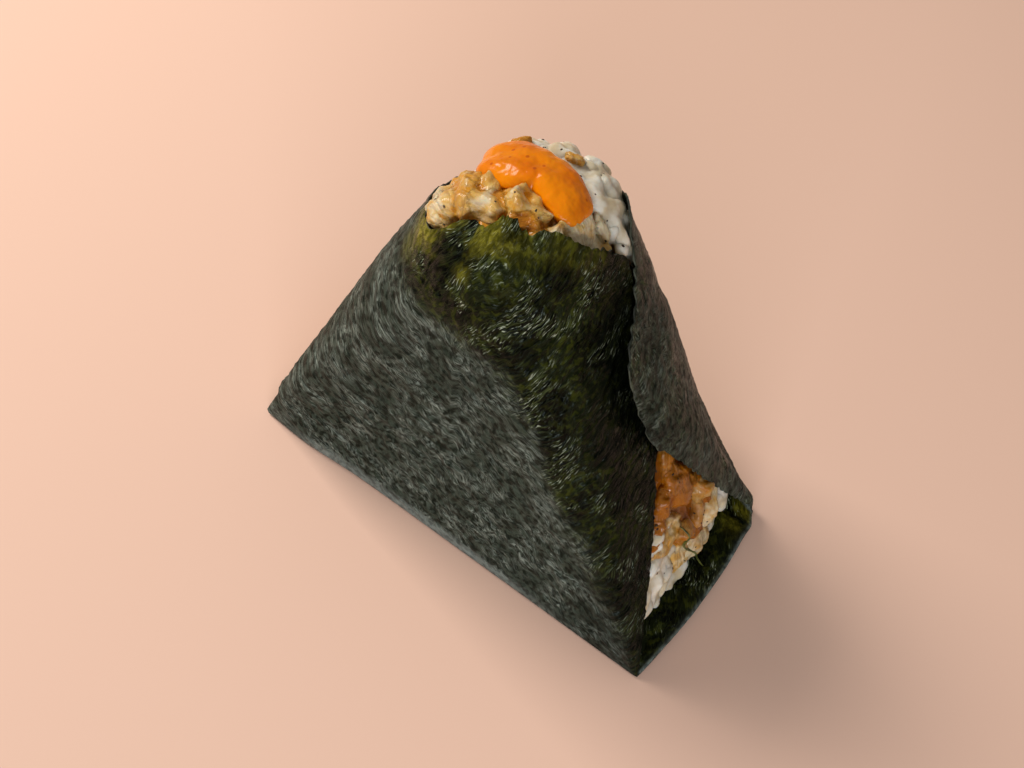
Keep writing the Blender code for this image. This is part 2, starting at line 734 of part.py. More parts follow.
spots = []
tries = 0
while tries < 4000:
    tries += 1
    zone = random.choice((0, 0, -1, 1))
    if zone == 0:
        start = Vector((random.uniform(-17, 15) * MM, random.uniform(-2, 19) * MM, 0.2))
        place, normal = first_hit(start, Vector((0, 0, -1)))
        if place is None or place.z < 62 * MM:
            continue
    else:
        start = Vector((zone * 0.1, random.uniform(-21, 21) * MM, random.uniform(2, 30) * MM))
        place, normal = first_hit(start, Vector((-zone, 0, 0)))
        if place is None or start.z / WINDOW_HEIGHT + abs(start.y) / (BASE_DEPTH / 2) > 1.02:
            continue
    if any((place - spot).length < GRAIN_SPACING for spot in spots):
        continue
    spin = random.uniform(0, math.pi)

    def sunk_grain(rise):
        return grain(place + normal * rise * MM, normal, spin, pieces)

    if add_clear(sunk_grain, (nori_tree, sauce_tree, chicken_tree), choices=(0.3, -0.3, -0.8)):
        spots.append(place)
boolean(rice_body, "UNION", collection=pieces)
clear_collection(pieces)

for member in list(cutters.objects):
    bpy.data.objects.remove(member)
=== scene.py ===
"""Spicy chicken onigiri, dressed: nori, rice, shredded chicken and orange sauce over the solids.

Lengths are in metres, +Z is up, the front panel faces -Y and the origin is the middle of the base.
"""

import math

import bmesh
import bpy
import numpy as np
from mathutils import Matrix, Vector
from mathutils.bvhtree import BVHTree


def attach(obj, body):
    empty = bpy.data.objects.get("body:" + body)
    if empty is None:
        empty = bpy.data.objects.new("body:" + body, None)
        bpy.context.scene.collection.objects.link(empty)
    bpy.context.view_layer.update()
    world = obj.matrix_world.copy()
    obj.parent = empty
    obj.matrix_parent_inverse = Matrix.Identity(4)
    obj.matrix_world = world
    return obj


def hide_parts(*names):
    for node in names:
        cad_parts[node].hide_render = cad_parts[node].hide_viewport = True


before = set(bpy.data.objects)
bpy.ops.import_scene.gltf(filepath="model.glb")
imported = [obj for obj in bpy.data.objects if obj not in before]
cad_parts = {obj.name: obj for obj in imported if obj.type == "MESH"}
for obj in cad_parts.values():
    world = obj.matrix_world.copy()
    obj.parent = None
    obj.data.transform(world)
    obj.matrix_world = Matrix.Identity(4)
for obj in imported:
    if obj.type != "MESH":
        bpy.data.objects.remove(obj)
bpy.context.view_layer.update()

MM = 0.001
scene = bpy.context.scene


# Camera
# The rice ball is seen from its front right and from high above, with the picture turned a little.

CAMERA_AROUND = math.radians(30.82)
CAMERA_ABOVE = math.radians(54.38)
CAMERA_ROLL = math.radians(-7.1)
CAMERA_PLACE = np.array([68.43, -114.70, 228.64]) * MM

camera_data = bpy.data.cameras.new("camera")
camera_data.sensor_width = 36
camera_data.lens = 43.95
camera_data.shift_x = -0.01236
camera_data.shift_y = -0.03884
camera_data.clip_start = 0.01
camera = bpy.data.objects.new("camera", camera_data)
camera.matrix_world = (
    Matrix.Translation(Vector(CAMERA_PLACE))
    @ Matrix.Rotation(CAMERA_AROUND, 4, "Z")
    @ Matrix.Rotation(math.pi / 2 - CAMERA_ABOVE, 4, "X")
    @ Matrix.Rotation(-CAMERA_ROLL, 4, "Z")
)
scene.collection.objects.link(camera)
scene.camera = camera


# Table and light
# A matt pale table top, a soft square lamp high on the left, a low strip lamp at the front right
# that puts the shine on nori and sauce, and a dim white room.


def linear(hex_colour):
    """Linear colour with alpha from an sRGB hex colour."""
    srgb = np.array([int(hex_colour[i : i + 2], 16) / 255 for i in (1, 3, 5)])
    low = srgb <= 0.04045
    return (*np.where(low, srgb / 12.92, ((srgb + 0.055) / 1.055) ** 2.4), 1.0)


def new_material(name):
    """An empty material and its node tree."""
    made = bpy.data.materials.new(name)
    made.use_nodes = True
    made.node_tree.nodes.clear()
    return made, made.node_tree


def add(kind, inputs, **settings):
    """Add a shader node to the tree in work. An input takes a value, a hex colour or a socket."""
    made = tree.nodes.new("ShaderNode" + kind)
    for name, value in settings.items():
        setattr(made, name, value)
    for name, value in inputs.items():
        if isinstance(value, bpy.types.NodeSocket):
            tree.links.new(value, made.inputs[name])
        else:
            made.inputs[name].default_value = linear(value) if isinstance(value, str) else value
    return made


def surface(inputs):
    """End the tree in work with a Principled surface of these inputs."""
    add("OutputMaterial", {"Surface": add("BsdfPrincipled", inputs).outputs[0]})


TABLE_HALF = 1.5
TABLE_HEIGHT = -0.0001
TABLE_CORNERS = ((-1, -1), (1, -1), (1, 1), (-1, 1))
table_mesh = bpy.data.meshes.new("table_top")
table_mesh.from_pydata(
    [(x * TABLE_HALF, y * TABLE_HALF, TABLE_HEIGHT) for x, y in TABLE_CORNERS],
    [],
    [(0, 1, 2, 3)],
)
table_top = bpy.data.objects.new("table_top", table_mesh)
scene.collection.objects.link(table_top)
pale_paint, tree = new_material("pale_matt_paint")
# Matt paint, so it gives no reflections, only its pale warm colour
surface({"Base Color": "#efc8b2", "Roughness": 0.9})
table_mesh.materials.append(pale_paint)

room = bpy.data.worlds.new("white_room")
room.use_nodes = True
room.node_tree.nodes["Background"].inputs["Color"].default_value = linear("#f7f3ee")
room.node_tree.nodes["Background"].inputs["Strength"].default_value = 0.28
scene.world = room
scene.view_settings.view_transform = "Standard"


def soft_lamp(name, place, width, height, power, colour):
    """A flat lamp that faces the middle of the rice ball."""
    data = bpy.data.lights.new(name, "AREA")
    data.shape = "RECTANGLE"
    data.size = width
    data.size_y = height
    data.energy = power
    data.color = linear(colour)[:3]
    lamp = bpy.data.objects.new(name, data)
    lamp.location = place
    facing = Vector((0, 0, 0.04)) - Vector(place)
    lamp.rotation_euler = facing.to_track_quat("-Z", "Y").to_euler()
    scene.collection.objects.link(lamp)


soft_lamp("window_light", (-0.48, 0.02, 0.50), 0.26, 0.26, 3.6, "#fff8f0")
soft_lamp("front_light", (0.34, -0.63, 0.24), 0.50, 0.05, 3.2, "#f6f8ff")


# Nori wrapper
# One strip of roasted nori, half a 190 x 210 mm sheet: seaweed pulp spread thin, pressed and dried
# like paper. It runs up the front, under the base and up the back, and its corners are folded over
# the two slanted sides, the back pair on top of the front pair.

STRIP_WIDTH = 95 * MM
BASE_DEPTH = 46 * MM
BASE_HEIGHT = 0.5 * MM
TOP_CENTRE = np.array([-2.2, 0.0, 71.0]) * MM
TOP_RADII = np.array([16.4, 19.6, 15.0]) * MM


def ease(value, low, high):
    """0 below low, 1 above high, and a smooth step 3t^2 - 2t^3 between."""
    t = np.clip((np.asarray(value, float) - low) / (high - low), 0, 1)
    return t * t * (3 - 2 * t)


def ease_mm(value, low, high):
    """The same step, with its two ends in millimetres."""
    return ease(value, low * MM, high * MM)


def ease_degrees(angle, low, high):
    """The same step, with its two ends in degrees."""
    return ease(angle, math.radians(low), math.radians(high))


def bell(value, middle, width):
    """1 at the middle, falling off to both sides as exp(-t^2)."""
    return np.exp(-(((value - middle) / width) ** 2))


def unit(vectors):
    return vectors / np.linalg.norm(vectors, axis=-1, keepdims=True)


class FoldedCorner:
    """A base corner and the strip folded round it.

    Straight lines drawn on the flat strip from the corner stay straight: with growing angle they
    lie in the upright panel, on a cone that grazes the rounded top, and in the slanted side.
    Past the place where it grazes, a line follows the rounded top.
    """

    def __init__(self, end, face, steps=60):
        self.corner = np.array([end * STRIP_WIDTH / 2, face * BASE_DEPTH / 2, BASE_HEIGHT])
        contact = self.contact_curve(
            self.touch_point(1, face * BASE_DEPTH / 2),
            self.touch_point(0, end * STRIP_WIDTH / 2),
            steps,
        )
        self.lines = unit(contact - self.corner)
        self.normals = unit((contact - TOP_CENTRE) / TOP_RADII**2)
        turns = np.arccos(np.clip((self.lines[1:] * self.lines[:-1]).sum(1), -1, 1))
        self.along_base = np.array([-end, 0.0, 0.0])
        self.along_end = np.array([0.0, -face, 0.0])
        start = math.acos(self.lines[0] @ self.along_base)
        self.angles = start + np.r_[0, np.cumsum(turns)]
        self.total = self.angles[-1] + math.acos(self.lines[-1] @ self.along_end)
        self.up_panel = unit(self.lines[0] - (self.lines[0] @ self.along_base) * self.along_base)
        self.up_side = unit(self.lines[-1] - (self.lines[-1] @ self.along_end) * self.along_end)

    @staticmethod
    def touch_point(axis, edge):
        """Where the plane that leans in from a base edge first touches the rounded top."""
        across = (edge - TOP_CENTRE[axis]) / TOP_RADII[axis]
        below = (BASE_HEIGHT - TOP_CENTRE[2]) / TOP_RADII[2]
        angle = math.atan2(below, across) + math.copysign(
            math.acos(1 / math.hypot(across, below)), edge
        )
        point = TOP_CENTRE.copy()
        point[axis] += TOP_RADII[axis] * math.cos(angle)
        point[2] += TOP_RADII[2] * math.sin(angle)
        return point

    def contact_curve(self, first, last, steps):
        """The circle, in the frame where the rounded top is a unit ball, that its tangents from
        the corner touch, between two of its points."""
        corner = (self.corner - TOP_CENTRE) / TOP_RADII
        middle = corner / (corner @ corner)
        radius = math.sqrt(1 - 1 / (corner @ corner))
        a = unit((first - TOP_CENTRE) / TOP_RADII - middle)
        b = unit((last - TOP_CENTRE) / TOP_RADII - middle)
        sweep = math.acos(np.clip(a @ b, -1, 1))
        t = np.linspace(0, 1, steps + 1)[:, None]
        arc = (np.sin((1 - t) * sweep) * a + np.sin(t * sweep) * b) / math.sin(sweep)
        return TOP_CENTRE + TOP_RADII * (middle + radius * arc)

    def place(self, reach, angle):
        """Where the strip point at that reach and angle from the corner lies when folded."""
        panel = np.cos(angle)[:, None] * self.along_base + np.sin(angle)[:, None] * self.up_panel
        rest = self.total - angle
        side = np.cos(rest)[:, None] * self.along_end + np.sin(rest)[:, None] * self.up_side
        cone = unit(np.stack([np.interp(angle, self.angles, c) for c in self.lines.T], -1))
        in_panel = (angle <= self.angles[0])[:, None]
        in_side = (angle >= self.angles[-1])[:, None]
        line = np.where(in_panel, panel, np.where(in_side, side, cone))
        step = line / TOP_RADII
        start = (self.corner - TOP_CENTRE) / TOP_RADII
        speed = np.linalg.norm(step, axis=1)
        contact = -(step @ start) / speed**2
        nearest = start + contact[:, None] * step
        radius = np.linalg.norm(nearest, axis=1)
        turn = ((reach - contact) * speed / radius)[:, None]
        forward = step / speed[:, None]
        outward = nearest / radius[:, None]
        ball = (outward * np.cos(turn) + forward * np.sin(turn)) * radius[:, None]
        straight = self.corner + reach[:, None] * line
        touches = (ease(radius, 1.2, 1.0) * (reach > contact))[:, None]
        return touches * (TOP_CENTRE + TOP_RADII * ball) + (1 - touches) * straight


CORNERS = {(end, face): FoldedCorner(end, face) for end in (-1, 1) for face in (-1, 1)}

# The smallest convex form round the base and the rounded top, by its tangent planes
FORM_MIDDLE = np.array([-2.2, 0.0, 48.0]) * MM
turn, rise = np.meshgrid(np.radians(np.arange(0, 360, 4)), np.radians(np.arange(-86, 90, 4)))
all_round = np.stack([np.cos(rise) * np.cos(turn), np.cos(rise) * np.sin(turn), np.sin(rise)], -1)
FORM_NORMALS = np.vstack(
    [all_round.reshape(-1, 3)] + [corner.normals for corner in CORNERS.values()]
)
FORM_REACH = np.maximum(
    STRIP_WIDTH / 2 * np.abs(FORM_NORMALS[:, 0])
    + BASE_DEPTH / 2 * np.abs(FORM_NORMALS[:, 1])
    + BASE_HEIGHT * FORM_NORMALS[:, 2],
    FORM_NORMALS @ TOP_CENTRE + np.linalg.norm(FORM_NORMALS * TOP_RADII, axis=1),
) - FORM_NORMALS @ FORM_MIDDLE
BATCH = 2000


def on_form(points):
    """Points moved along their rays from the form's middle on to the form."""
    rays = unit(points - FORM_MIDDLE)
    reach = [
        (FORM_REACH / np.maximum(some @ FORM_NORMALS.T, 0.02)).min(axis=1)
        for some in np.array_split(rays, len(rays) // BATCH + 1)
    ]
    return FORM_MIDDLE + rays * np.concatenate(reach)[:, None]


def fold(x, height, face):
    """Folded place of strip points, x across the strip and height up the panel of that face: the
    blend of what the folds round its two base corners give, and on the form near the top."""
    x, height = x.ravel(), height.ravel()
    places = []
    for end in (-1, 1):
        away = STRIP_WIDTH / 2 - end * x
        places.append(CORNERS[end, face].place(np.hypot(away, height), np.arctan2(height, away)))
    share = ease_mm(x, -12, 8)[:, None]
    place = (1 - share) * places[0] + share * places[1]
    over_top = ease_mm(height, 58, 68)[:, None]
    high = over_top[:, 0] > 0
    place[high] = (1 - over_top[high]) * place[high] + over_top[high] * on_form(place[high])
    return place


def waves(x, y, size, seed, count=9):
    """Even random waves of about one size, the sum of sines in random directions, about -1 to 1."""
    draw = np.random.default_rng(seed)
    total = 0
    for _ in range(count):
        angle, phase = draw.uniform(0, 2 * math.pi), draw.uniform(0, 7)
        pace = draw.uniform(0.7, 1.5)
        total = total + np.sin(
            2 * math.pi * pace / size * (x * math.cos(angle) + y * math.sin(angle)) + phase
        )
    return total / math.sqrt(count)


def jags(along, size, seed):
    """The same waves on a line: the ups and downs of a torn edge."""
    return waves(along, 0 * along, size, seed)


def creases(x, y, size, seed):
    """Sharp connected ridges: 1 where the waves cross zero, falling off on both sides."""
    return np.clip(1 - 1.6 * np.abs(waves(x, y, size, seed)), 0, 1) ** 1.5


# The torn end of the front panel: heights above the base fold at places across the strip
FRONT_EDGE = np.array(
    [
        (-48, 76.5), (-25, 77.5), (-13.8, 78), (-10.9, 80.2), (-9.4, 83), (-7.9, 84.8),
        (-3.5, 85.2), (0.3, 88.2), (5.2, 88.4), (6.9, 87.2), (9, 86.6), (11.3, 87.8),
        (15.3, 87.4), (20.5, 85.4), (23.1, 85.2), (26.2, 84.2), (29.6, 83.6), (48, 83),
    ]
) * MM  # fmt: skip
BACK_HEIGHT = 71 * MM
# The flaps grow narrower upwards on the right, and a little wider on the left, by these angles
NARROWING = {(1, -1): 3.4, (1, 1): 1.4, (-1, -1): -1.2, (-1, 1): -2.2}
HIDDEN_OVERLAP = 7 * MM


def top_edge(x, face):
    """Height of the strip's torn end above the base fold: the front end rises to the right, the
    back end slopes to both sides and has its corners cut."""
    torn = 0.28 * MM * jags(x, 2.4 * MM, 31 + face) + 0.12 * MM * jags(x, 1.1 * MM, 41)
    if face < 0:
        return np.interp(x, *FRONT_EDGE.T) + torn
    rise = 7 * MM * ease_mm(x, 3, 11) - 6 * MM * ease_mm(-x, 4, 14)
    slope = 6 * MM * ease_mm(np.abs(x), 12, 32)
    cut = np.where(x < 0, 11 * MM, 17 * MM)
    corner = cut * (np.clip(np.abs(x) - 33 * MM, 0, None) / (14.5 * MM)) ** 2
    return BACK_HEIGHT + rise - slope - corner + 1.6 * torn


def panel_height(x, face):
    """Greatest height of a line up the strip: its torn end, or where the other flap hides it."""
    low, high = np.full(x.shape, 40 * MM), np.full(x.shape, 100 * MM)
    end = np.where(x < 0, -1, 1)
    total = np.where(x < 0, CORNERS[-1, face].total, CORNERS[1, face].total)
    for _ in range(24):
        height = (low + high) / 2
        away = STRIP_WIDTH / 2 - end * x
        reach, angle = np.hypot(away, height), np.arctan2(height, away)
        depth = reach * np.cos(total - angle) - BASE_DEPTH / 2
        hidden = (face < 0) & (angle > math.radians(66)) & (depth > HIDDEN_OVERLAP)
        inside = (height < top_edge(x, face)) & ~hidden
        low, high = np.where(inside, height, low), np.where(inside, high, height)
    return low


FRONT_FIBRES = math.radians(-28)
FLAP_FIBRES = math.radians(-58)


def fibre_ways(x, height, face):
    """Places along and across the fibres, which run down to the right on the front and along the
    flaps on the back, with the share of each set and a seed."""
    sets = [(FRONT_FIBRES, np.ones(x.shape))]
    if face > 0:
        right = ease_mm(x, -6, 6)
        sets = [(FLAP_FIBRES, right), (-FLAP_FIBRES, 1 - right)]
    for seed, (turned, share) in enumerate(sets):
        along = x * math.cos(turned) + height * math.sin(turned)
        yield along, height * math.cos(turned) - x * math.sin(turned), share, seed + 3 * face


FLAP_CLEARANCE = 0.9 * MM
RIGHT_FLAP_LIFT = 2.6 * MM
LEFT_FLAP_LIFT = 0.6 * MM
PRESSED_FOLD = 1.2 * MM


def stand_off(x, height, face):
    """How far a strip point stands off the folded form: waves, crinkles and lifted flaps."""
    away = STRIP_WIDTH / 2 - np.abs(x)
    reach, angle = np.hypot(away, height), np.arctan2(height, away)

    def at_fold(middle, width):
        return bell(angle, math.radians(middle), math.radians(width))

    # Broad waves of the pressed sheet, then sharp crinkles that lie flatter where it is folded
    free = ease_mm(reach, 9, 26)
    a = np.sin(x / (5.3 * MM) + 1.7 * np.sin(height / (9 * MM)) + face)
    b = np.sin(height / (6.1 * MM) + 1.3 * np.sin(x / (8 * MM)) + 2 * face)
    c = np.sin((x + height) / (3.7 * MM) + face)
    offset = 0.25 * MM * (0.5 * a + 0.5 * b + 0.3 * c) * free * ease_mm(height, 0, 10)
    fine = 0
    for along, over, share, seed in fibre_ways(x, height, face):
        wide = creases(along / 3.4, over, 3.6 * MM, 50 + seed)
        narrow = creases(along / 2.4, over, 2.0 * MM, 60 + seed)
        fine = fine + share * (wide + 0.7 * narrow)
    depth = (0.5 if face < 0 else 0.35) * MM * (1 - 0.65 * at_fold(62, 12))
    if face > 0:
        depth = depth * (1 - 0.7 * ease_degrees(angle, 74, 86))
    offset = offset + depth * (fine - 0.5) * ease_mm(height, 0, 4) * ease_mm(reach, 3, 14)

    if face > 0:
        # A back flap lies on the front one, lifts at its tip and is pressed down along its fold
        first = math.radians(70) - math.radians(13) * ease_mm(reach, 45, 72)
        tip = ease_degrees(angle, 70, 84) * ease_mm(height, 18, 50)
        offset = offset + FLAP_CLEARANCE * ease(angle, first, first + math.radians(9)) * free
        offset = offset + np.where(x > 0, RIGHT_FLAP_LIFT, LEFT_FLAP_LIFT) * tip
        offset = offset - PRESSED_FOLD * at_fold(65, 8) * free * ease_mm(reach, 75, 50)
        right_fold = at_fold(62, 12) * (x > 0)
        offset = offset - 1.3 * MM * right_fold * ease_mm(reach, 58, 68) * ease_mm(reach, 92, 80)
        offset = offset - 1.2 * MM * right_fold * ease_mm(reach, 3, 12) * ease_mm(reach, 58, 34)
    else:
        # The front's left fold is swollen, with a small ear at its foot and a bulge beside it
        offset = offset * (1 - 0.6 * ease_degrees(angle, 62, 74))
        swollen = at_fold(62, 20) * (x < 0)
        offset = offset + 1.5 * MM * swollen * ease_mm(reach, 6, 22) * ease_mm(reach, 88, 60)
        offset = offset + 0.7 * MM * at_fold(74, 14) * bell(reach, 12 * MM, 2.6 * MM) * (x < 0)
        offset = offset + 0.8 * MM * bell(x, -36 * MM, 10 * MM) * ease_mm(height, 14, 4)
    return offset


def grid_quads(rows, columns):
    """Corner numbers of the quads of a rows x columns grid of vertices."""
    corner = (np.arange(rows - 1)[:, None] * columns + np.arange(columns - 1)).reshape(-1, 1)
    return corner + np.array([0, 1, columns + 1, columns])


def placed(name, mesh):
    """An object of that mesh, at the origin, on the body root."""
    made = bpy.data.objects.new(name, mesh)
    scene.collection.objects.link(made)
    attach(made, "root")
    return made


def mesh_object(name, vertices, faces, material):
    """A smooth mesh object from arrays of vertices and quads or triangles."""
    vertices, faces = np.asarray(vertices, np.float32), np.asarray(faces, np.int32)
    mesh = bpy.data.meshes.new(name)
    mesh.vertices.add(len(vertices))
    mesh.vertices.foreach_set("co", vertices.ravel())
    mesh.loops.add(faces.size)
    mesh.loops.foreach_set("vertex_index", faces.ravel())
    mesh.polygons.add(len(faces))
    mesh.polygons.foreach_set("loop_start", np.arange(len(faces), dtype=np.int32) * faces.shape[1])
    mesh.polygons.foreach_set("use_smooth", np.ones(len(faces), bool))
    mesh.update(calc_edges=True)
    mesh.validate()
    mesh.materials.append(material)
    return placed(name, mesh)


def set_uv(piece, name, coordinates):
    """A UV map from one coordinate pair for each vertex."""
    layer = piece.data.uv_layers.new(name=name)
    corner = np.empty(len(piece.data.loops), np.int32)
    piece.data.loops.foreach_get("vertex_index", corner)
    layer.data.foreach_set("uv", np.asarray(coordinates, np.float32)[corner].ravel())


def set_values(piece, **named):
    """Named numbers for each vertex, which a material can read."""
    for name, values in named.items():
        layer = piece.data.attributes.new(name, "FLOAT", "POINT")
        layer.data.foreach_set("value", np.asarray(values, np.float32).ravel())


SHEET_STEP = 0.72 * MM
SHEET_THICKNESS = 0.3 * MM
LONGEST_PANEL = 84 * MM
BASE_ROWS = 50
columns = int(STRIP_WIDTH / SHEET_STEP) + 1
across = np.linspace(-1, 1, columns)


def half_panel(face):
    """Grid of one upright panel from its base fold to its torn end, and its strip coordinates."""
    rows = int(LONGEST_PANEL / SHEET_STEP)
    up = np.linspace(0, 1, rows)[:, None]
    height = up * panel_height(across * STRIP_WIDTH / 2, face)[None, :]
    narrowing = np.radians(np.where(across < 0, NARROWING[-1, face], NARROWING[1, face]))
    trim = np.minimum(height, 50 * MM) * np.sin(narrowing) * ease_mm(height, 10, 50)
    ragged = 0.2 * MM * jags(height, 2.6 * MM, 71 + face) * ease_mm(height, 1, 6)
    x = across * (STRIP_WIDTH / 2 - trim) + ragged * np.sign(across) * (np.abs(across) > 0.999)
    place = fold(x, height, face).reshape(rows, columns, 3)
    for _ in range(4):
        around = place[:-2, 1:-1] + place[2:, 1:-1] + place[1:-1, :-2] + place[1:-1, 2:]
        place[1:-1, 1:-1] = (place[1:-1, 1:-1] + around / 4) / 2
    outward = unit(np.cross(np.gradient(place, axis=1), np.gradient(place, axis=0)) * -face)
    # A ragged edge column has no steady normal of its own
    outward[:, [0, -1]] = outward[:, [1, -2]]
    place = place + outward * (0.15 * MM + stand_off(x, height, face))[:, :, None]
    return place, x, height


front, front_x, front_height = half_panel(-1)
back, back_x, back_height = half_panel(1)
front[0, [0, -1]], back[0, [0, -1]] = [
    [CORNERS[end, face].corner for end in (-1, 1)] for face in (-1, 1)
]
# The base bulges out at its two ends, and its corners and end edges curl up
through = 2 * np.linspace(0, 1, BASE_ROWS)[1:-1, None] - 1
bulge = 1.8 * MM * (1 - through**2) * np.sign(across) * ease(np.abs(across), 0.72, 1)
base_x = across * STRIP_WIDTH / 2 + bulge
base_y = through * BASE_DEPTH / 2 + 0 * base_x
base_rise = 0.08 * MM * (1 + waves(base_x, base_y, 7 * MM, 81))
base_rise = base_rise + 0.10 * MM * creases(base_x, base_y, 3 * MM, 82)
curl = ease_mm(np.abs(base_x), 42.5, 49) * ease_mm(np.abs(base_y), 23, 15)
base_rise = base_rise + 0.9 * MM * curl * (1 + 0.4 * waves(base_y, base_x, 13 * MM, 86))
base = np.stack([base_x, base_y, SHEET_THICKNESS + 0.02 * MM + base_rise], -1)
sheet = np.concatenate([front[::-1], base, back])
# Round the two back corners of the base, which curl up a little
for end in (-1, 1):
    near = np.linalg.norm(sheet - CORNERS[end, 1].corner, axis=-1, keepdims=True)
    sheet = sheet + ease_mm(near, 9, 0) * np.array([0.8 * end, -0.6, 0.8]) * MM
    sheet = sheet + ease_mm(near, 5.5, 0) * np.array([-1.3 * end, -1.2, 0.2]) * MM


def over_strip(front_part, base_part, back_part):
    """Numbers for the whole strip from its front, base and back; one number may fill a part."""
    parts = zip((front_part, base_part, back_part), (front_x, base_x, back_x))
    front_part, base_part, back_part = [np.broadcast_to(part, grid.shape) for part, grid in parts]
    return np.concatenate([front_part[::-1], base_part, back_part])


strip_x = over_strip(front_x, base_x, back_x)
strip_s = over_strip(-BASE_DEPTH / 2 - front_height, base_y, BASE_DEPTH / 2 + back_height)

# The felted grey-green side of the sheet shows at the lower left, its pallor partly painted sheen,
# and the glossy mossy part, near black between its fibres and partly painted shade, above a line
# from the top left to the right corner
past_top = front_height + 0.56 * front_x - 63 * MM
past_top = past_top + 4 * MM * waves(front_x, front_height, 24 * MM, 83)
past_side = front_height + 1.64 * front_x - 76.5 * MM
past_side = past_side + 1.5 * MM * waves(front_x, front_height, 12 * MM, 87)
mossy = over_strip(
    np.maximum(ease_mm(past_top, -6, 6), ease_mm(past_side, -4, 5)),
    1,
    0.42 + 0.2 * waves(back_x, back_height, 20 * MM, 84),
)
# The pulp is thin and olive along the left of the front's torn end and at one end of the base
edge_gap = panel_height(across * STRIP_WIDTH / 2, -1)[None, :] - front_height
thin_front = ease_mm(edge_gap + 2.5 * MM * waves(front_x, front_height, 9 * MM, 85), 9, 0)
thin_front = thin_front * ease_mm(front_x, -24, -16) * (1 - 0.75 * ease_mm(front_x, 1, 7))
thin = over_strip(thin_front, ease_mm(base_x, 40, 45) * ease_mm(base_y, 12, 19), 0)
# Painted shade darkens the front by the right flap, and painted highlights pale the base folds
damp_front = ease_mm(front_x, 18, 27) * ease_mm(front_height, 40, 52)
damp = over_strip(np.maximum(damp_front, 0.6 * ease_mm(front_x, 26, 38)), 0, 0)
# Painted highlight: a pale band along the base folds stands in for light caught by the edges
rubbed_front = ease_mm(front_height, 4.2, 1.2) * ease_mm(front_x, 34, 6)
rubbed = over_strip(
    rubbed_front * ease_mm(front_x, -44, -28),
    ease(np.abs(across), 0.982, 0.998),
    ease_mm(back_height, 2.4, 0),
)

nori, tree = new_material("roasted_nori")
# Dried seaweed: near black and dark green, matt where the pulp is rough and glossy on its ridges,
# with a felt of pale hair-fine fibres 0.2 mm wide that run down to the right
strip = add("UVMap", {}, uv_map="strip").outputs[0]


def noise(place, size, detail=3.0, kind="2D", **more):
    """Soft random pattern of about that size."""
    inputs = {"Vector": place, "Scale": 1 / size, "Detail": detail, **more}
    return add("TexNoise", inputs, noise_dimensions=kind).outputs[0]


def shifted(place, size, by):
    """The place moved at random by up to by, in waves of that size."""
    colour = noise(place, size, 2.0).node.outputs["Color"]
    moved = add("VectorMath", {0: colour, 1: (by, by, 0), 2: place}, operation="MULTIPLY_ADD")
    return moved.outputs[0]


bent = shifted(shifted(strip, 15 * MM, 5.5 * MM), 4 * MM, 0.6 * MM)


def streaks(turned, length, width, detail=3.0):
    """Noise stretched along fibres of that turn."""
    stretch = {"Rotation": (0, 0, math.radians(turned)), "Scale": (length, width, 1)}
    laid = add("Mapping", {"Vector": bent, **stretch}, vector_type="TEXTURE")
    return noise(laid.outputs[0], 1.0, detail)


def calculate(operation, a, b=0.0, c=0.0):
    return add("Math", {0: a, 1: b, 2: c}, operation=operation).outputs[0]


def times(a, b):
    return calculate("MULTIPLY", a, b)


def spread(value, low, high, start=0.0, end=1.0):
    """Smooth step from start at low to end at high."""
    ends = {"Value": value, "From Min": low, "From Max": high, "To Min": start, "To Max": end}
    return add("MapRange", ends, interpolation_type="SMOOTHSTEP").outputs[0]


def mix(share, a, b, blend="MIX"):
    """Colour a where share is 0 and colour b where it is 1."""
    return add("Mix", {0: share, 6: a, 7: b}, data_type="RGBA", blend_type=blend).outputs[2]


def attribute(name):
    return add("Attribute", {}, attribute_name=name).outputs["Fac"]


def bump(height, distance, strength, **more):
    inputs = {"Height": height, "Distance": distance, "Strength": strength, **more}
    return add("Bump", inputs).outputs[0]


mossiness, thinness, dampness, rubbing = map(attribute, ("mossy", "thin", "damp", "rubbed"))
blots = noise(bent, 1.4 * MM, 5.0)
patches = noise(bent, 8 * MM, 5.0)
clumps = spread(noise(bent, 7 * MM, 4.0), 0.5, 0.62)
density = spread(noise(strip, 6 * MM, 6.0), 0.4, 0.6, 0.15, 1.0)
felt = calculate(
    "MAXIMUM",
    spread(streaks(26, 5.2 * MM, 0.22 * MM, 5.0), 0.48, 0.70),
    spread(streaks(50, 4.2 * MM, 0.20 * MM, 5.0), 0.5, 0.72),
)
felt = times(felt, spread(blots, 0.38, 0.6, 0.35, 1.0))
hair_off = calculate("ABSOLUTE", calculate("SUBTRACT", streaks(34, 12 * MM, 1.1 * MM, 2.0), 0.5))
hairs = times(spread(hair_off, 0.022, 0.004), spread(blots, 0.4, 0.55))
felt = calculate("MAXIMUM", felt, hairs)
moss = calculate(
    "MAXIMUM",
    spread(streaks(-46, 3.2 * MM, 0.36 * MM), 0.5, 0.7),
    spread(streaks(-70, 3.2 * MM, 0.34 * MM), 0.52, 0.72),
)
# Painted highlights: clumps of short pale streaks stand in for shine on the mossy fibres
glints = times(spread(streaks(-60, 1.7 * MM, 0.26 * MM), 0.6, 0.72), clumps)

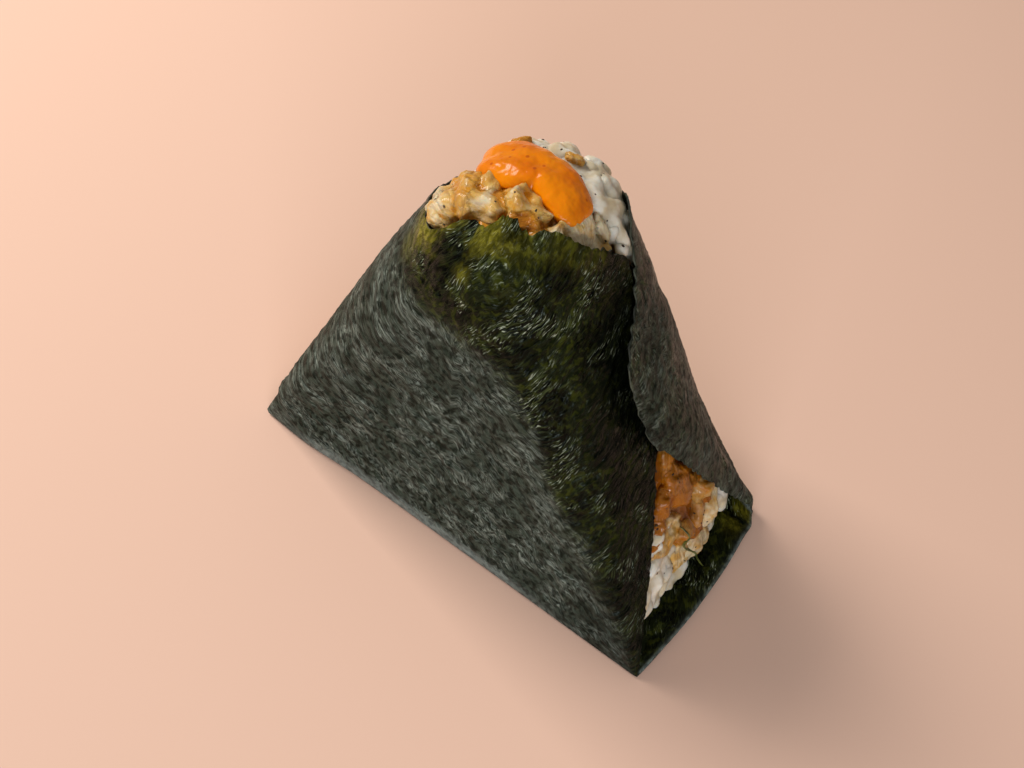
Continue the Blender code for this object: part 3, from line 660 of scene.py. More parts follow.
grey = mix(spread(blots, 0.35, 0.65), "#12170f", "#3d463b")
grey = mix(times(times(felt, density), 0.82), grey, "#929d92")
dark = mix(spread(patches, 0.42, 0.6), "#020301", "#161b09")
dark = mix(times(spread(blots, 0.48, 0.66), spread(patches, 0.4, 0.58, 0.2, 0.8)), dark, "#3a3f0e")
dark = mix(times(moss, spread(clumps, 0.0, 1.0, 0.15, 0.7)), dark, "#4c5632")
dark = mix(glints, dark, "#aab49c")
olive = mix(spread(blots, 0.4, 0.65), "#585410", "#857f26")
# Painted light: on the front the grey felt stands partly for sheen, the near-black part for shade
colour = mix(mossiness, grey, dark)
colour = mix(times(spread(patches, 0.32, 0.5), thinness), colour, olive)
# Painted shade: the front beside and under the right flap is made near black
colour = mix(times(dampness, 0.75), colour, "#050704")
# Painted highlight: the base folds are made pale where their edges catch the light
colour = mix(times(rubbing, spread(blots, 0.3, 0.6, 0.35, 0.8)), colour, "#8a948e")

moss_ridges = [streaks(-50, 5 * MM, 1.5 * MM, 1.0), streaks(-76, 6 * MM, 1.8 * MM, 1.0)]
felt_ridges = [streaks(30, 9 * MM, 2.2 * MM, 2.0), streaks(62, 6 * MM, 2.6 * MM, 2.0)]
ridges = add(
    "Mix", {0: mossiness, 2: calculate("ADD", *felt_ridges), 3: calculate("ADD", *moss_ridges)}
).outputs[0]
threads = times(felt, calculate("SUBTRACT", 1.0, mossiness))
threads = calculate("ADD", threads, times(moss, mossiness))
relief = calculate("MULTIPLY_ADD", blots, 0.5, threads)
gloss = calculate("MULTIPLY_ADD", patches, 0.3, mossiness)
surface(
    {
        "Base Color": colour,
        "Roughness": spread(gloss, 0.2, 1.0, 0.48, 0.2),
        "IOR": 1.38,
        "Specular IOR Level": 0.11,
        "Specular Tint": "#dceee0",
        "Normal": bump(relief, 0.12 * MM, 1.0, Normal=bump(ridges, 1.0 * MM, 1.0)),
    }
)


def through_piece(size, detail=3.0):
    """Soft random pattern of about that size all through a piece."""
    return noise(add("TexCoord", {}).outputs["Object"], size, detail, "3D")


cut_nori, tree = new_material("cut_nori_edge")
# The cut through the pulp is matt and paler than its pressed faces
cut_colour = mix(spread(through_piece(3 * MM, 2.0), 0.4, 0.6), "#20241a", "#484c3c")
surface({"Base Color": cut_colour, "Roughness": 0.7})

quads = grid_quads(len(sheet), columns)
nori_sheet = mesh_object("nori_sheet", sheet.reshape(-1, 3), quads, nori)
set_uv(nori_sheet, "strip", np.stack([strip_x, strip_s], -1).reshape(-1, 2))
set_values(nori_sheet, mossy=mossy, thin=thin, damp=damp, rubbed=rubbed)
nori_sheet.data.materials.append(cut_nori)
wall = nori_sheet.modifiers.new("thickness", "SOLIDIFY")
wall.thickness = SHEET_THICKNESS
wall.material_offset_rim = 1
wall.offset = 1
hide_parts("nori_wrap")


# Rice
# Cooked short-grain rice, pressed by hand into the wrapper: plump grains of about 6 x 3 mm, moist
# and a little see-through, that stick together into one mass.


def search_tree(node):
    """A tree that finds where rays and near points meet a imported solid."""
    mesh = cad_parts[node].data
    return BVHTree.FromPolygons([v.co for v in mesh.vertices], [p.vertices for p in mesh.polygons])


nori_tree = search_tree("nori_wrap")
rice_tree = search_tree("rice_body")
chicken_tree = search_tree("chicken_filling")
sauce_tree = search_tree("sauce_dollop")


def lumps(points, size, seed, count=8):
    """Smooth random lumps in space of about one size, the sum of sines in random directions."""
    draw = np.random.default_rng(seed)
    ways = unit(draw.normal(size=(count, 3))) * draw.uniform(0.7, 1.5, (count, 1))
    phases = draw.uniform(0, 7, count)
    return np.sin(2 * math.pi / size * points @ ways.T + phases).sum(-1) / math.sqrt(count)


def vectors_of(items, name):
    """One vector property of all a mesh's items, a row for each."""
    values = np.empty(len(items) * 3)
    items.foreach_get(name, values)
    return values.reshape(-1, 3)


def points_of(mesh):
    return vectors_of(mesh.vertices, "co")


def normals_of(mesh):
    return vectors_of(mesh.vertex_normals, "vector")


def remeshed(piece, voxel, rounds):
    """A piece's fine remesh, in which forms that overlap grow together, softened some rounds."""
    cells = piece.modifiers.new("cells", "REMESH")
    cells.mode = "VOXEL"
    cells.voxel_size = voxel
    softer = piece.modifiers.new("softer", "SMOOTH")
    softer.iterations = rounds
    graph = bpy.context.evaluated_depsgraph_get()
    mesh = bpy.data.meshes.new_from_object(piece.evaluated_get(graph))
    mesh.polygons.foreach_set("use_smooth", np.ones(len(mesh.polygons), bool))
    return mesh


def fused(piece, voxel, rounds):
    """Replace a piece's mesh by its fine remesh."""
    mesh = remeshed(piece, voxel, rounds)
    piece.modifiers.clear()
    piece.data = mesh


def rounded_copy(node, name, voxel, swell, rounds, material):
    """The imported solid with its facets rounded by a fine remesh, its surface moved by swell and
    roughened by small lumps."""
    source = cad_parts[node].data.copy()
    work = bmesh.new()
    work.from_mesh(source)
    bmesh.ops.remove_doubles(work, verts=work.verts, dist=0.005 * MM)
    work.to_mesh(source)
    work.free()
    rough = bpy.data.objects.new(name, source)
    scene.collection.objects.link(rough)
    mesh = remeshed(rough, voxel, rounds)
    bpy.data.objects.remove(rough)
    points = points_of(mesh)
    x, y, z = points.T
    # It keeps clear of the flaps, of the folds beside the windows and of the left shoulder
    under_flaps = ease_mm(z, 30, 36) * ease_mm(z, 74, 68)
    behind_folds = ease_mm(np.abs(y), 15, 18) * ease_mm(z, 40, 34)
    left_shoulder = ease_mm(-x, 12, 16) * ease_mm(z, 66, 71)
    swell = swell - 1.6 * MM * np.maximum(under_flaps, behind_folds) - 1.0 * MM * left_shoulder
    points += normals_of(mesh) * (swell + 0.15 * MM * lumps(points, 2.6 * MM, 5))[:, None]
    mesh.vertices.foreach_set("co", points.ravel())
    mesh.materials.clear()
    mesh.materials.append(material)
    made = placed(name, mesh)
    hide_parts(node)
    return made


def ball_shape(rings, around):
    """A closed form from a bottom point over rings of points to a top point: the place along its
    axis from -1 to 1 and the angle of each point, and its triangles."""
    rise = math.pi * (np.arange(1, rings + 1) / (rings + 1) - 0.5)
    t = np.concatenate([[-1], np.repeat(np.sin(rise), around), [1]])
    angle = np.concatenate([[0], np.tile(np.arange(around) * 2 * math.pi / around, rings), [0]])
    j = np.arange(around)
    k = (j + 1) % around
    i = np.arange(rings - 1)[:, None] * around + 1
    last = 1 + rings * around
    triangles = [
        np.stack([0 * j, 1 + k, 1 + j], -1),
        np.stack([i + j, i + k, i + around + k], -1).reshape(-1, 3),
        np.stack([i + j, i + around + k, i + around + j], -1).reshape(-1, 3),
        np.stack([last - around + j, last - around + k, last + 0 * j], -1),
    ]
    return t, angle, np.concatenate(triangles)


def ball_points(t, angle):
    """Points of a ball of radius 1 from their places along its axis and their angles."""
    ring = np.sqrt(1 - t**2)
    return np.stack([t, ring * np.cos(angle), ring * np.sin(angle)], -1)


def frames_on(normals, spins):
    """For each normal the three directions along, across and out of a piece turned by its spin."""
    level = np.where(np.abs(normals[:, 2:]) < 0.95, [[0.0, 0.0, 1.0]], [[0.0, 1.0, 0.0]])
    a = unit(np.cross(level, normals))
    b = np.cross(normals, a)
    along = np.cos(spins)[:, None] * a + np.sin(spins)[:, None] * b
    return np.stack([along, np.cross(normals, along), normals], 1)


def outward(points):
    """Direction out of the rice ball: of the rounded top above, and of the slanted side below."""
    top = unit((points - TOP_CENTRE) / TOP_RADII**2)
    side = np.stack([0.93 * np.sign(points[:, 0]), 0 * points[:, 1], 0 * points[:, 2] + 0.37], -1)
    share = ease_mm(points[:, 2], 50, 62)[:, None]
    return unit(share * top + (1 - share) * side)


def rays_to(draw, count, zone):
    """Rays towards the bare top (zone 0) or the window at one end (zone -1 or 1)."""
    if zone == 0:
        targets = draw.uniform((-19, -16, 66), (16, 21, 80), (count, 3)) * MM
        ways = unit(draw.normal(size=(count, 3)) * (1, 1, 0.5) + (0, 0, 1.6))
    else:
        targets = draw.uniform((30, -22, 1), (44, 22, 34), (count, 3)) * MM * (zone, 1, 1)
        ways = unit(draw.normal(size=(count, 3)) * 0.5 + (zone * 1.4, 0, 0.5))
    return targets + ways * 0.1, -ways


def settle(tree, covers, starts, ways, spacing, clear):
    """Places on a solid that rays reach before its covers, some way apart and off the nori."""
    kept = []
    for start, way in zip(starts, ways):
        start, way = Vector(start), Vector(way)
        hit, _, _, distance = tree.ray_cast(start, way)
        if hit is None or nori_tree.find_nearest(hit)[3] < clear:
            continue
        if any((cover.ray_cast(start, way)[3] or 1.0) < distance for cover in covers):
            continue
        place = np.array(hit)
        if not kept or np.linalg.norm(np.array(kept) - place, axis=1).min() > spacing:
            kept.append(place)
    return np.array(kept)


def copies(name, shape, triangles, places, frames, sizes, material):
    """One mesh of many copies of a shape, each stretched to its size and turned to its frame."""
    points = (shape[None] * sizes[:, None]) @ frames + places[:, None]
    faces = triangles[None] + (np.arange(len(places)) * len(shape))[:, None, None]
    return mesh_object(name, points.reshape(-1, 3), faces.reshape(-1, 3), material)


rice, tree = new_material("cooked_rice")
# Starch gel: white, moist and slightly see-through, so light spreads about 2 mm into it
surface(
    {
        "Base Color": mix(spread(through_piece(3.5 * MM), 0.35, 0.65), "#ece6d6", "#cfbf9e"),
        "Roughness": 0.38,
        "IOR": 1.4,
        "Subsurface Weight": 0.75,
        "Subsurface Radius": (1.0, 0.85, 0.7),
        "Subsurface Scale": 2.4 * MM,
        "Coat Weight": 0.2,
        "Coat Roughness": 0.2,
        "Normal": bump(through_piece(0.9 * MM, 2.0), 0.12 * MM, 0.5),
    }
)
rice_mass = rounded_copy("rice_body", "rice_mass", 0.8 * MM, -0.05 * MM, 12, rice)

# A grain is an ellipsoid with blunt ends, thicker towards one of them and bent to one side
GRAIN_SIZE = np.array([6.0, 3.0, 2.7]) * MM
t, angle, grain_triangles = ball_shape(9, 12)
girth = (1 - np.abs(t) ** 2.3) ** 0.5 * (1 + 0.07 * t)
bend = 0.16 * (0.35 - t**2)
grain_shape = np.stack([t, girth * np.cos(angle) + bend, girth * np.sin(angle)], -1) / 2
draw = np.random.default_rng(11)
over_rice = (chicken_tree, sauce_tree, nori_tree)
grain_places = np.concatenate(
    [
        settle(rice_tree, over_rice, *rays_to(draw, count, zone), 2.5 * MM, clear * MM)
        for zone, count, clear in ((0, 7000, 0.8), (1, 4000, 1.5), (-1, 4000, 1.5))
    ]
)
count = len(grain_places)
grain_outward = unit(outward(grain_places) + 0.25 * draw.normal(size=(count, 3)))
grain_places = grain_places - grain_outward * draw.uniform(1.25, 1.75, (count, 1)) * MM
back_right = ease_mm(grain_places[:, 0], -1, 3) * ease_mm(grain_places[:, 2], 72, 76)
grain_places = grain_places - grain_outward * 0.8 * MM * back_right[:, None]
grain_frames = frames_on(grain_outward, draw.uniform(0, math.pi, count))
free = []
for place, (along, _, _) in zip(grain_places, grain_frames):
    spot, way = Vector(place), Vector(along)
    left_of_sauce = sauce_tree.find_nearest(spot)[3] < 3 * MM and place[0] < -6 * MM
    meets_nori = any(nori_tree.ray_cast(spot, end * way, 3.2 * MM)[0] for end in (-1, 1))
    free.append(not left_of_sauce and not meets_nori)
free = np.array(free)
rice_grains = copies(
    "rice_grains",
    grain_shape,
    grain_triangles,
    grain_places[free],
    grain_frames[free],
    GRAIN_SIZE * draw.uniform(0.85, 1.1, (free.sum(), 3)),
    rice,
)
fused(rice_grains, 0.4 * MM, 8)
# The lowest grains lie flat on the nori
grain_points = points_of(rice_grains.data)
grain_points[:, 2] = np.maximum(grain_points[:, 2], 0.8 * MM)
rice_grains.data.vertices.foreach_set("co", grain_points.ravel())


# Chicken
# Cooked chicken pulled into short shreds and lumps, mixed with a thin spicy glaze. It fills the
# middle from window to window and opens out over the front of the top.

chicken, tree = new_material("glazed_chicken")
# Cooked lean meat: cream to golden, with fibres about 0.9 mm apart, in a wet orange glaze that
# collects in the hollows
fibres = noise(add("UVMap", {}, uv_map="grain").outputs[0], 1.0, Distortion=0.4)
broad, fine = through_piece(4 * MM, 4.0), through_piece(0.9 * MM, 4.0)
tone = calculate("SUBTRACT", attribute("golden"), 1.3)
tone = calculate("MULTIPLY_ADD", through_piece(2.4 * MM), 2.6, tone)
meat = mix(spread(tone, -0.45, 0.2), "#e6d8b4", "#d6ac5c")
meat = mix(spread(tone, 0.2, 0.85), meat, "#d29012")
meat = mix(spread(broad, 0.5, 0.75, 0.0, 0.35), meat, "#c98e50")
meat = mix(spread(fibres, 0.45, 0.62, 0.0, 0.34), meat, "#9c7444")
meat = mix(spread(fine, 0.52, 0.68, 0.0, 0.3), meat, "#eee0be")
glaze_level = calculate("MULTIPLY_ADD", broad, 0.8, attribute("glazed"))
glaze_share = spread(glaze_level, 0.5, 1.1)
meat = mix(times(glaze_share, 0.9), meat, "#ca861c")
meat = mix(spread(glaze_level, 1.1, 1.7, 0.0, 0.9), meat, "#b66a10")
# Painted shade: the chicken in the windows is darkened, as the flaps over them shade it
meat = mix(attribute("soaked"), meat, "#c8b088", "MULTIPLY")
wetness = add("MapRange", {"Value": glaze_share, "To Min": 0.42, "To Max": 0.2}).outputs[0]
surface(
    {
        "Base Color": meat,
        "Roughness": wetness,
        "IOR": 1.42,
        "Subsurface Weight": 0.28,
        "Subsurface Radius": (1.0, 0.55, 0.25),
        "Subsurface Scale": 1.4 * MM,
        "Specular IOR Level": 0.3,
        "Coat Weight": 0.25,
        "Coat Roughness": 0.07,
        "Normal": bump(calculate("MULTIPLY_ADD", fibres, 0.6, times(fine, 0.5)), 0.6 * MM, 0.8),
    }
)
chicken_mass = rounded_copy(
    "chicken_filling", "chicken_mass", 0.7 * MM, -0.9 * MM, 3, chicken
)
x, y, z = points_of(chicken_mass.data).T
in_window = ease_mm(z, 50, 32)
glaze_pool = np.exp(-((x - 1.5 * MM) ** 2 + (y + 6.5 * MM) ** 2) / (4 * MM) ** 2)
plain_right = ease_mm(x, 3, 8) * (1 - in_window)
set_values(
    chicken_mass,
    golden=0.7 - 0.9 * plain_right,
    glazed=0.45 * (1 - plain_right) + np.maximum(0.4 * in_window, 0.9 * glaze_pool),
    soaked=in_window,
)

# Pieces that stand out: place in plan on the top, length, width, height, turn, golden, glazed
TOP_PIECES = (
    (-12.0, -4.0, 7.0, 5.6, 5.2, 60, 0.75, -0.05),
    (-16.2, -6.4, 8.4, 5.0, 4.0, 100, 0.0, 0.00),
    (-8.0, -3.6, 8.4, 3.8, 4.8, -5, 0.1, 0.20),
    (-0.8, -2.8, 9.6, 8.2, 9.6, 25, 0.2, -0.05),
    (-3.8, -2.8, 5.0, 4.4, 6.0, 80, 1.0, 0.45),
    (-5.6, -7.4, 7.0, 6.0, 6.2, 30, 0.15, -0.05),
    (-10.6, -8.6, 9.0, 5.6, 3.4, 10, 0.7, 0.45),
    (-13.8, -10.2, 7.0, 4.6, 4.6, 30, 0.1, 0.05),
    (-17.7, -8.9, 7.2, 4.8, 3.8, 80, -0.1, 0.00),
    (-15.4, -11.2, 6.4, 4.6, 5.0, 30, 0.0, 0.00),
    (4.0, -3.6, 4.6, 3.2, 3.0, -20, -0.3, 0.00),
    (0.8, -6.4, 4.6, 3.6, 2.2, 20, 0.7, 1.2),
    (2.8, -7.2, 4.0, 2.8, 1.9, -40, 0.7, 1.3),
    (6.0, -4.6, 4.4, 3.0, 2.6, 40, -0.2, 0.10),
    (8.2, -0.2, 10.0, 7.0, 4.0, 80, -0.3, -0.10),
    (0.0, -8.8, 5.0, 3.6, 2.4, 0, 0.8, 0.95),
    (5.0, -7.6, 5.0, 3.2, 2.6, 10, 0.5, 0.45),
)
# The same at the windows: place across and height, then as above
WINDOW_PIECES = (
    (2.2, 26.5, 12.0, 8.0, 5.0, 80, 0.9, 0.45),
    (-2.6, 25.5, 6.0, 5.0, 4.0, 60, 0.7, 0.70),
    (6.2, 24.0, 6.5, 5.0, 4.4, 20, 0.6, 0.25),
    (8.6, 19.8, 6.0, 4.6, 4.2, 60, 0.5, 0.15),
    (10.6, 13.4, 11.5, 6.4, 5.8, 66, -0.2, -0.3),
    (6.4, 14.6, 8.0, 3.4, 3.6, 60, 0.1, 0.50),
    (-3.0, 18.6, 9.0, 7.0, 5.0, 30, 0.1, -0.05),
    (-6.0, 21.0, 6.5, 5.0, 4.6, 40, 0.60, 0.50),
    (-7.2, 17.0, 7.0, 5.0, 4.6, 70, 0.20, 0.05),
    (4.4, 6.0, 8.5, 6.0, 4.6, 20, -0.2, -0.05),
    (-1.6, 10.4, 8.0, 5.5, 4.4, 70, 0.0, -0.05),
    (8.4, 5.0, 7.0, 5.0, 4.0, 50, -0.2, -0.05),
)
draw = np.random.default_rng(23)
spots = []
for x, y, *rest in TOP_PIECES:
    above = 84 - 9 * float(ease(-x, 13, 17))
    hit = chicken_tree.find_nearest(Vector((x, y, above)) * MM)[0]
    spots.append((np.array(hit), *rest))
for end in (1, -1):
    for y, height, *rest in WINDOW_PIECES:
        # The left window's pieces lie a little differently from the right one's
        y, height = y + draw.uniform(-2, 2) * (end < 0), height + draw.uniform(-2, 2) * (end < 0)
        near = Vector((end * (45 - 0.36 * height), y, height)) * MM
        nearest = [solid.find_nearest(near) for solid in (chicken_tree, rice_tree)]
        spots.append((np.array(min(nearest, key=lambda found: found[3])[0]), *rest))
# Smaller pieces fill up what they leave bare
over_chicken = (rice_tree, sauce_tree, nori_tree)
for zone, tries, spacing in ((0, 2500, 4.0), (1, 1500, 5.6), (-1, 1500, 5.6)):
    rays = rays_to(draw, tries, zone)
    for place in settle(chicken_tree, over_chicken, *rays, spacing * MM, 1.0 * MM):
        behind_sauce = zone == 0 and place[1] > -2 * MM and place[0] < 2 * MM
        if not behind_sauce and min(np.linalg.norm(place - spot[0]) for spot in spots) > 4.4 * MM:
            size = draw.uniform((4.5, 3.2, 2.4), (7.0, 4.6, 3.4))
            plain = float(ease_mm(place[0], 4, 8)) * (zone == 0)
            turned, golden, glazed = draw.uniform((0, 0.3, 0.1), (180, 0.7, 0.5))
            spots.append((place, *size, turned, golden - 0.8 * plain, glazed - 0.5 * plain))
centres = np.array([spot[0] for spot in spots])
numbers = np.array([spot[1:] for spot in spots])
sizes, turns, golden_of, glazed_of = numbers[:, :3] * MM, *numbers[:, 3:].T
normals = outward(centres)
piece_frames = frames_on(normals, np.radians(turns))
centres = centres - normals * 0.3 * sizes[:, 2:]

# A piece is a ball cut off flat by planes on some sides, torn, tapered and waved along its length
FACETS = 10
t, angle, meat_triangles = ball_shape(22, 28)
ball = ball_points(t, angle)
facets = unit(draw.normal(size=(len(sizes), FACETS, 3)))
depths = draw.uniform(0.62, 0.92, (len(sizes), FACETS))
meat_points = []
for number, size in enumerate(sizes):
    cut = np.minimum((depths[number] / np.maximum(ball @ facets[number].T, 0.05)).min(1), 1)
    torn = 0.08 * lumps(ball * size, 0.8 * size[0], number)
    torn = torn + 0.05 * lumps(ball * size, 2.2 * MM, number + 500)
    local = 1.18 * ball * (cut + torn)[:, None] * size / 2
    local[:, 1] *= 1 + 0.25 * t * math.sin(number)
    local[:, 2] += 0.08 * size[2] * np.sin(2 * math.pi * local[:, 0] / size[0] + number)
    meat_points.append(local @ piece_frames[number] + centres[number])
faces = (meat_triangles[None] + (np.arange(len(spots)) * len(t))[:, None, None]).reshape(-1, 3)
chicken_pieces = mesh_object(
    "chicken_pieces", np.concatenate(meat_points), faces, chicken
)
fused(chicken_pieces, 0.4 * MM, 1)


def hollows(mesh, rounds):
    """How far each vertex lies below the surface smoothed over some rounds, in metres."""
    ends = np.empty(len(mesh.edges) * 2, np.int32)
    mesh.edges.foreach_get("vertices", ends)
    a, b = ends.reshape(-1, 2).T
    points = points_of(mesh)
    count = len(points)
    smooth, neighbours = points.copy(), np.maximum(np.bincount(ends, minlength=count), 1)
    for _ in range(rounds):
        for_axis = [
            np.bincount(a, smooth[b, k], count) + np.bincount(b, smooth[a, k], count)
            for k in range(3)
        ]
        smooth = np.stack(for_axis, -1) / neighbours[:, None]
    return ((smooth - points) * normals_of(mesh)).sum(-1)


# Each point takes its colours from the pieces near it, and its fibres from the nearest
points = points_of(chicken_pieces.data)
local = np.einsum("pij,vpj->vpi", piece_frames, points[:, None] - centres[None])
inside = ((local / (sizes[None] / 2)) ** 2).sum(-1)
weight = np.exp(-3 * np.minimum(inside, 30))
weight /= weight.sum(1, keepdims=True)
nearest = inside.argmin(1)
along, sideways, upwards = local[np.arange(len(points)), nearest].T
round_piece = np.arctan2(upwards, sideways) * sizes[nearest, 1] / 2
# Strands, small lumps and the narrow grooves of tears
strand = np.sin(2 * math.pi * round_piece / (1.5 * MM) + 2 * lumps(points, 4 * MM, 71))
rough = 0.06 * MM * strand * ease(lumps(points, 7 * MM, 72), -0.6, 0.8)
rough = rough + 0.06 * MM * lumps(points, 1.5 * MM, 73)
for depth, size, seed in ((0.1, 3.6, 74), (0.05, 2.2, 75)):
    rough = rough - depth * MM * np.exp(-5 * np.abs(lumps(points, size * MM, seed)))
rough_points = points + normals_of(chicken_pieces.data) * rough[:, None]
chicken_pieces.data.vertices.foreach_set("co", rough_points.ravel())
FIBRE_SPACING, FIBRE_LENGTH = 0.9 * MM, 6 * MM
fibre_places = [round_piece / FIBRE_SPACING, along / FIBRE_LENGTH + 7.3 * nearest]
set_uv(chicken_pieces, "grain", np.stack(fibre_places, -1))
pooled = 0.9 * ease_mm(hollows(chicken_pieces.data, 30), 0.02, 0.28)
pooled = pooled * (0.6 + 0.4 * ease_mm(points[:, 2], 32, 50))
# Painted shade in the windows, stronger on golden and glazed pieces
dark_of = 0.3 + 0.7 * np.clip(golden_of + glazed_of, 0, 1)
set_values(
    chicken_pieces,
    golden=weight @ golden_of,
    glazed=weight @ glazed_of + pooled,
    soaked=(weight @ dark_of) * ease_mm(points[:, 2], 50, 32),
)


# Orange sauce
# A thick spicy mayonnaise with paprika oil, spooned on the top: smooth, glossy and opaque, with
# rounded edges and a lobe that runs down to the right.

sauce, tree = new_material("spicy_mayonnaise")
# An oil emulsion: opaque, saturated orange and wet, with dark red specks of chilli; light spreads
# a little under its surface
swirl, beads = through_piece(6 * MM), through_piece(1.6 * MM, 1.0)
speck_inputs = {"Vector": add("TexCoord", {}).outputs["Object"], "Scale": 1 / (2.1 * MM)}
specks = add("TexVoronoi", speck_inputs).outputs["Distance"]
sauce_colour = mix(spread(swirl, 0.35, 0.65), "#ee8803", "#de7200")
speck_share = times(spread(specks, 0.2, 0.1), spread(swirl, 0.36, 0.46))
surface(
    {
        "Base Color": mix(times(speck_share, 0.6), sauce_colour, "#a83a06"),
        "Roughness": 0.22,
        "IOR": 1.4,
        "Specular IOR Level": 0.3,
        "Subsurface Weight": 0.15,
        "Subsurface Radius": (1.0, 0.4, 0.1),
        "Subsurface Scale": 1.2 * MM,
        "Normal": bump(calculate("MULTIPLY_ADD", swirl, 0.25, beads), 0.58 * MM, 0.6),
    }
)

SAUCE_MIDDLE = np.array([-2.6, 2.2]) * MM
SAUCE_SIZE = (9.4 * MM, 5.4 * MM)
SAUCE_THICKNESS = 2.3 * MM
FOOD_TOP_RADII = TOP_RADII - np.array([0.7, 0.7, 3.0]) * MM


def sauce_reach(turn):
    """Distance from the dollop's middle to its edge: an oval with three lobes and one bay."""

    def hill(at, width):
        return bell((turn - math.radians(at) + math.pi) % (2 * math.pi), math.pi, width)

    oval = 1 / np.hypot(np.cos(turn) / SAUCE_SIZE[0], np.sin(turn) / SAUCE_SIZE[1])
    lobes = 0.25 * hill(-24, 0.3) + 0.2 * hill(-152, 0.35) + 0.32 * hill(148, 0.5)
    uneven = 0.025 * np.sin(7 * turn) + 0.02 * np.sin(11 * turn)
    return oval * (1 + lobes - 0.32 * hill(-70, 0.5) + uneven)


def on_top(x, y):
    """Point and outward direction on the rounded top of the food below a place in plan."""
    across = (x - TOP_CENTRE[0]) / FOOD_TOP_RADII[0]
    deep = (y - TOP_CENTRE[1]) / FOOD_TOP_RADII[1]
    z = TOP_CENTRE[2] + FOOD_TOP_RADII[2] * np.sqrt(np.clip(1 - across**2 - deep**2, 0.02, 1))
    point = np.stack([x, y, z], -1)
    return point, unit((point - TOP_CENTRE) / FOOD_TOP_RADII**2)


def sauce_plan(ring, turn):
    """Place in plan of a point of the dollop, ring from 0 in its middle to 1 at its edge."""
    reach = ring * sauce_reach(turn)
    return SAUCE_MIDDLE[0] + reach * np.cos(turn), SAUCE_MIDDLE[1] + reach * np.sin(turn)


def sauce_surface(ring, turn):
    """Upper side of the dollop: a full rounded edge and a gently waved top."""
    x, y = sauce_plan(ring, turn)
    point, normal = on_top(x, y)
    swell = (1 - ring**3.2) ** 0.55
    rise = 0.5 * MM + SAUCE_THICKNESS * swell + 0.12 * MM * waves(x, y, 5.5 * MM, 91) * swell
    return point + normal * rise[..., None]


rings, around = 30, 120
ring, turn = np.meshgrid(
    np.sin(np.linspace(0, math.pi / 2, rings + 1))[1:],
    np.arange(around) * 2 * math.pi / around,
    indexing="ij",
)
upper, lower = sauce_surface(ring, turn), on_top(*sauce_plan(ring, turn))[0]
middle_top, middle_low = sauce_surface(np.array(0.0), np.array(0.0)), on_top(*SAUCE_MIDDLE)[0]
body = np.concatenate([lower[:-1], upper[::-1]])
_, _, sauce_triangles = ball_shape(len(body), around)
sauce_points = np.concatenate([middle_low[None], body.reshape(-1, 3), middle_top[None]])
orange_sauce = mesh_object("orange_sauce", sauce_points, sauce_triangles, sauce)
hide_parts("sauce_dollop")


# Small things
# Two glazed scraps of chicken, one behind the sauce and one on the rice, coarse black pepper on
# the rice and chicken, and a shred of leek that hangs in each window.

# Place, length, width, height, turn, golden, glazed
SCRAPS = np.array(
    [
        (-10.2, 8.2, 81.3, 3.4, 2.2, 1.8, 20, 0.5, 0.75),
        (-1.5, 11.1, 81.1, 3.6, 2.6, 1.4, 40, 0.8, 0.1),
    ]
)
t, angle, scrap_triangles = ball_shape(14, 18)
ball = ball_points(t, angle)
scrap_places = SCRAPS[:, :3] * MM
scrap_frames = frames_on(outward(scrap_places), np.radians(SCRAPS[:, 6]))
scrap_points = []
for number, size in enumerate(SCRAPS[:, 3:6] * MM):
    torn = 0.12 * lumps(ball * size, 2 * MM, number + 900)
    local = np.sign(ball) * np.abs(ball) ** 0.7 * (1 + torn)[:, None] * size / 2
    scrap_points.append(local @ scrap_frames[number] + scrap_places[number])
chicken_scraps = mesh_object(
    "chicken_scraps",
    np.concatenate(scrap_points),
    np.concatenate([scrap_triangles, scrap_triangles + len(t)]),
    chicken,
)
set_uv(chicken_scraps, "grain", np.tile(np.stack([angle, 2 * t], -1), (2, 1)))
golden, glazed = np.repeat(SCRAPS[:, 7:], len(t), axis=0).T
set_values(chicken_scraps, golden=golden, glazed=glazed, soaked=0 * golden)

food_points, food_faces = [], []
for piece in (rice_mass, rice_grains, chicken_mass, chicken_pieces, orange_sauce):
    first = len(food_points)
    food_points += [Vector(point) for point in points_of(piece.data)]
    food_faces += [[first + v for v in p.vertices] for p in piece.data.polygons]
food_tree = BVHTree.FromPolygons(food_points, food_faces)

pepper, tree = new_material("black_pepper")
# Cracked peppercorn: dark brown skin with a few paler bits of the core
pepper_colour = mix(spread(through_piece(0.7 * MM, 2.0), 0.4, 0.65), "#1c130b", "#5c4526")
surface({"Base Color": pepper_colour, "Roughness": 0.6})

draw = np.random.default_rng(37)
speck_places, speck_normals = [], []
for zone, tries in ((0, 110), (1, 70), (-1, 70)):
    for start, way in zip(*rays_to(draw, tries, zone)):
        hit, normal, _, distance = food_tree.ray_cast(Vector(start), Vector(way))
        wrapped = nori_tree.ray_cast(Vector(start), Vector(way))[3]
        if hit is None or (wrapped or 1.0) < distance or nori_tree.find_nearest(hit)[3] < 0.8 * MM:
            continue
        if sauce_tree.find_nearest(hit)[3] > 1.2 * MM:
            speck_places.append(hit)
            speck_normals.append(normal)
t, angle, speck_triangles = ball_shape(3, 6)
speck_shape = ball_points(t, angle) / 2 * (1 + 0.3 * draw.uniform(-1, 1, (len(t), 1)))
count = len(speck_places)
pepper_specks = copies(
    "pepper_specks",
    speck_shape,
    speck_triangles,
    np.array(speck_places),
    frames_on(np.array(speck_normals), draw.uniform(0, math.pi, count)),
    draw.uniform(0.6, 1.3, (count, 1)) * np.array([0.55, 0.4, 0.22]) * MM,
    pepper,
)


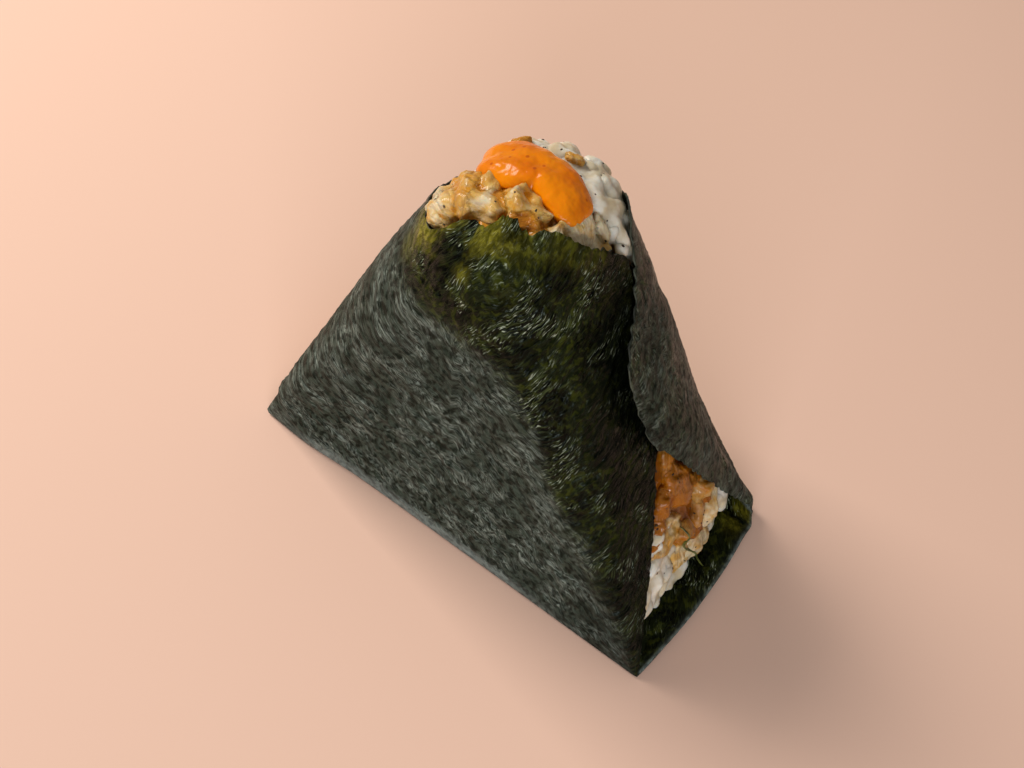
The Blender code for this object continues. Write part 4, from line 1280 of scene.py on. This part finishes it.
def laid_tube(path, radius, around=10):
    """A thin tube whose middle follows a path that lies on the food, tapered to both ends."""
    forward = unit(np.gradient(path, axis=0))
    side = unit(np.cross(forward, [0.0, 0.35, 1.0]))
    up = np.cross(side, forward)
    share = np.linspace(0, 1, len(path))[:, None, None]
    taper = radius * (1 - 0.6 * np.abs(2 * share - 1) ** 4)
    turn = (np.arange(around) * 2 * math.pi / around)[None, :, None]
    tube = path[:, None] + taper * (np.cos(turn) * side[:, None] + 0.6 * np.sin(turn) * up[:, None])
    return np.concatenate([path[:1], tube.reshape(-1, 3), path[-1:]])


leek, tree = new_material("leek_shred")
# A wilted shred of leek green, wet and ribbed along its length
leek_colour = mix(spread(through_piece(1.2 * MM), 0.35, 0.65), "#3a4212", "#6d7130")
surface({"Base Color": leek_colour, "Roughness": 0.4})

# The right shred's way down the window; its last part hangs free over the base
STRAND = np.array(
    [
        (38.8, -1.2, 18.6),
        (40.6, -1.0, 15.0),
        (42.0, 1.2, 9.0),
        (43.2, 3.4, 4.5),
        (45.4, 4.9, 0.9),
    ]
) * MM
PATH_POINTS, LAID_POINTS = 45, 36
strands = []
for end in (1, -1):
    share = np.linspace(0, 4, PATH_POINTS)
    path = np.stack([np.interp(share, range(5), c) for c in STRAND.T], -1)
    path[:, 1] += 0.5 * MM * np.sin(2.6 * share + end) + (0 if end > 0 else 3 * MM)
    path[:, 0] *= end
    out = Vector((0.93 * end, 0, 0.37))
    for number in range(LAID_POINTS):
        hit = food_tree.ray_cast(Vector(path[number]) + out * 0.02, -out, 0.03)[0]
        if hit is not None:
            path[number] = np.array(hit) + np.array(out) * 0.2 * MM
    for _ in range(6):
        path[1:-1] = (path[:-2] + 2 * path[1:-1] + path[2:]) / 4
    strands.append(laid_tube(path, 0.32 * MM))
_, _, strand_triangles = ball_shape(PATH_POINTS, 10)
leek_shreds = mesh_object(
    "leek_shreds",
    np.concatenate(strands),
    np.concatenate([strand_triangles, (strand_triangles + len(strands[0]))[:, ::-1]]),
    leek,
)
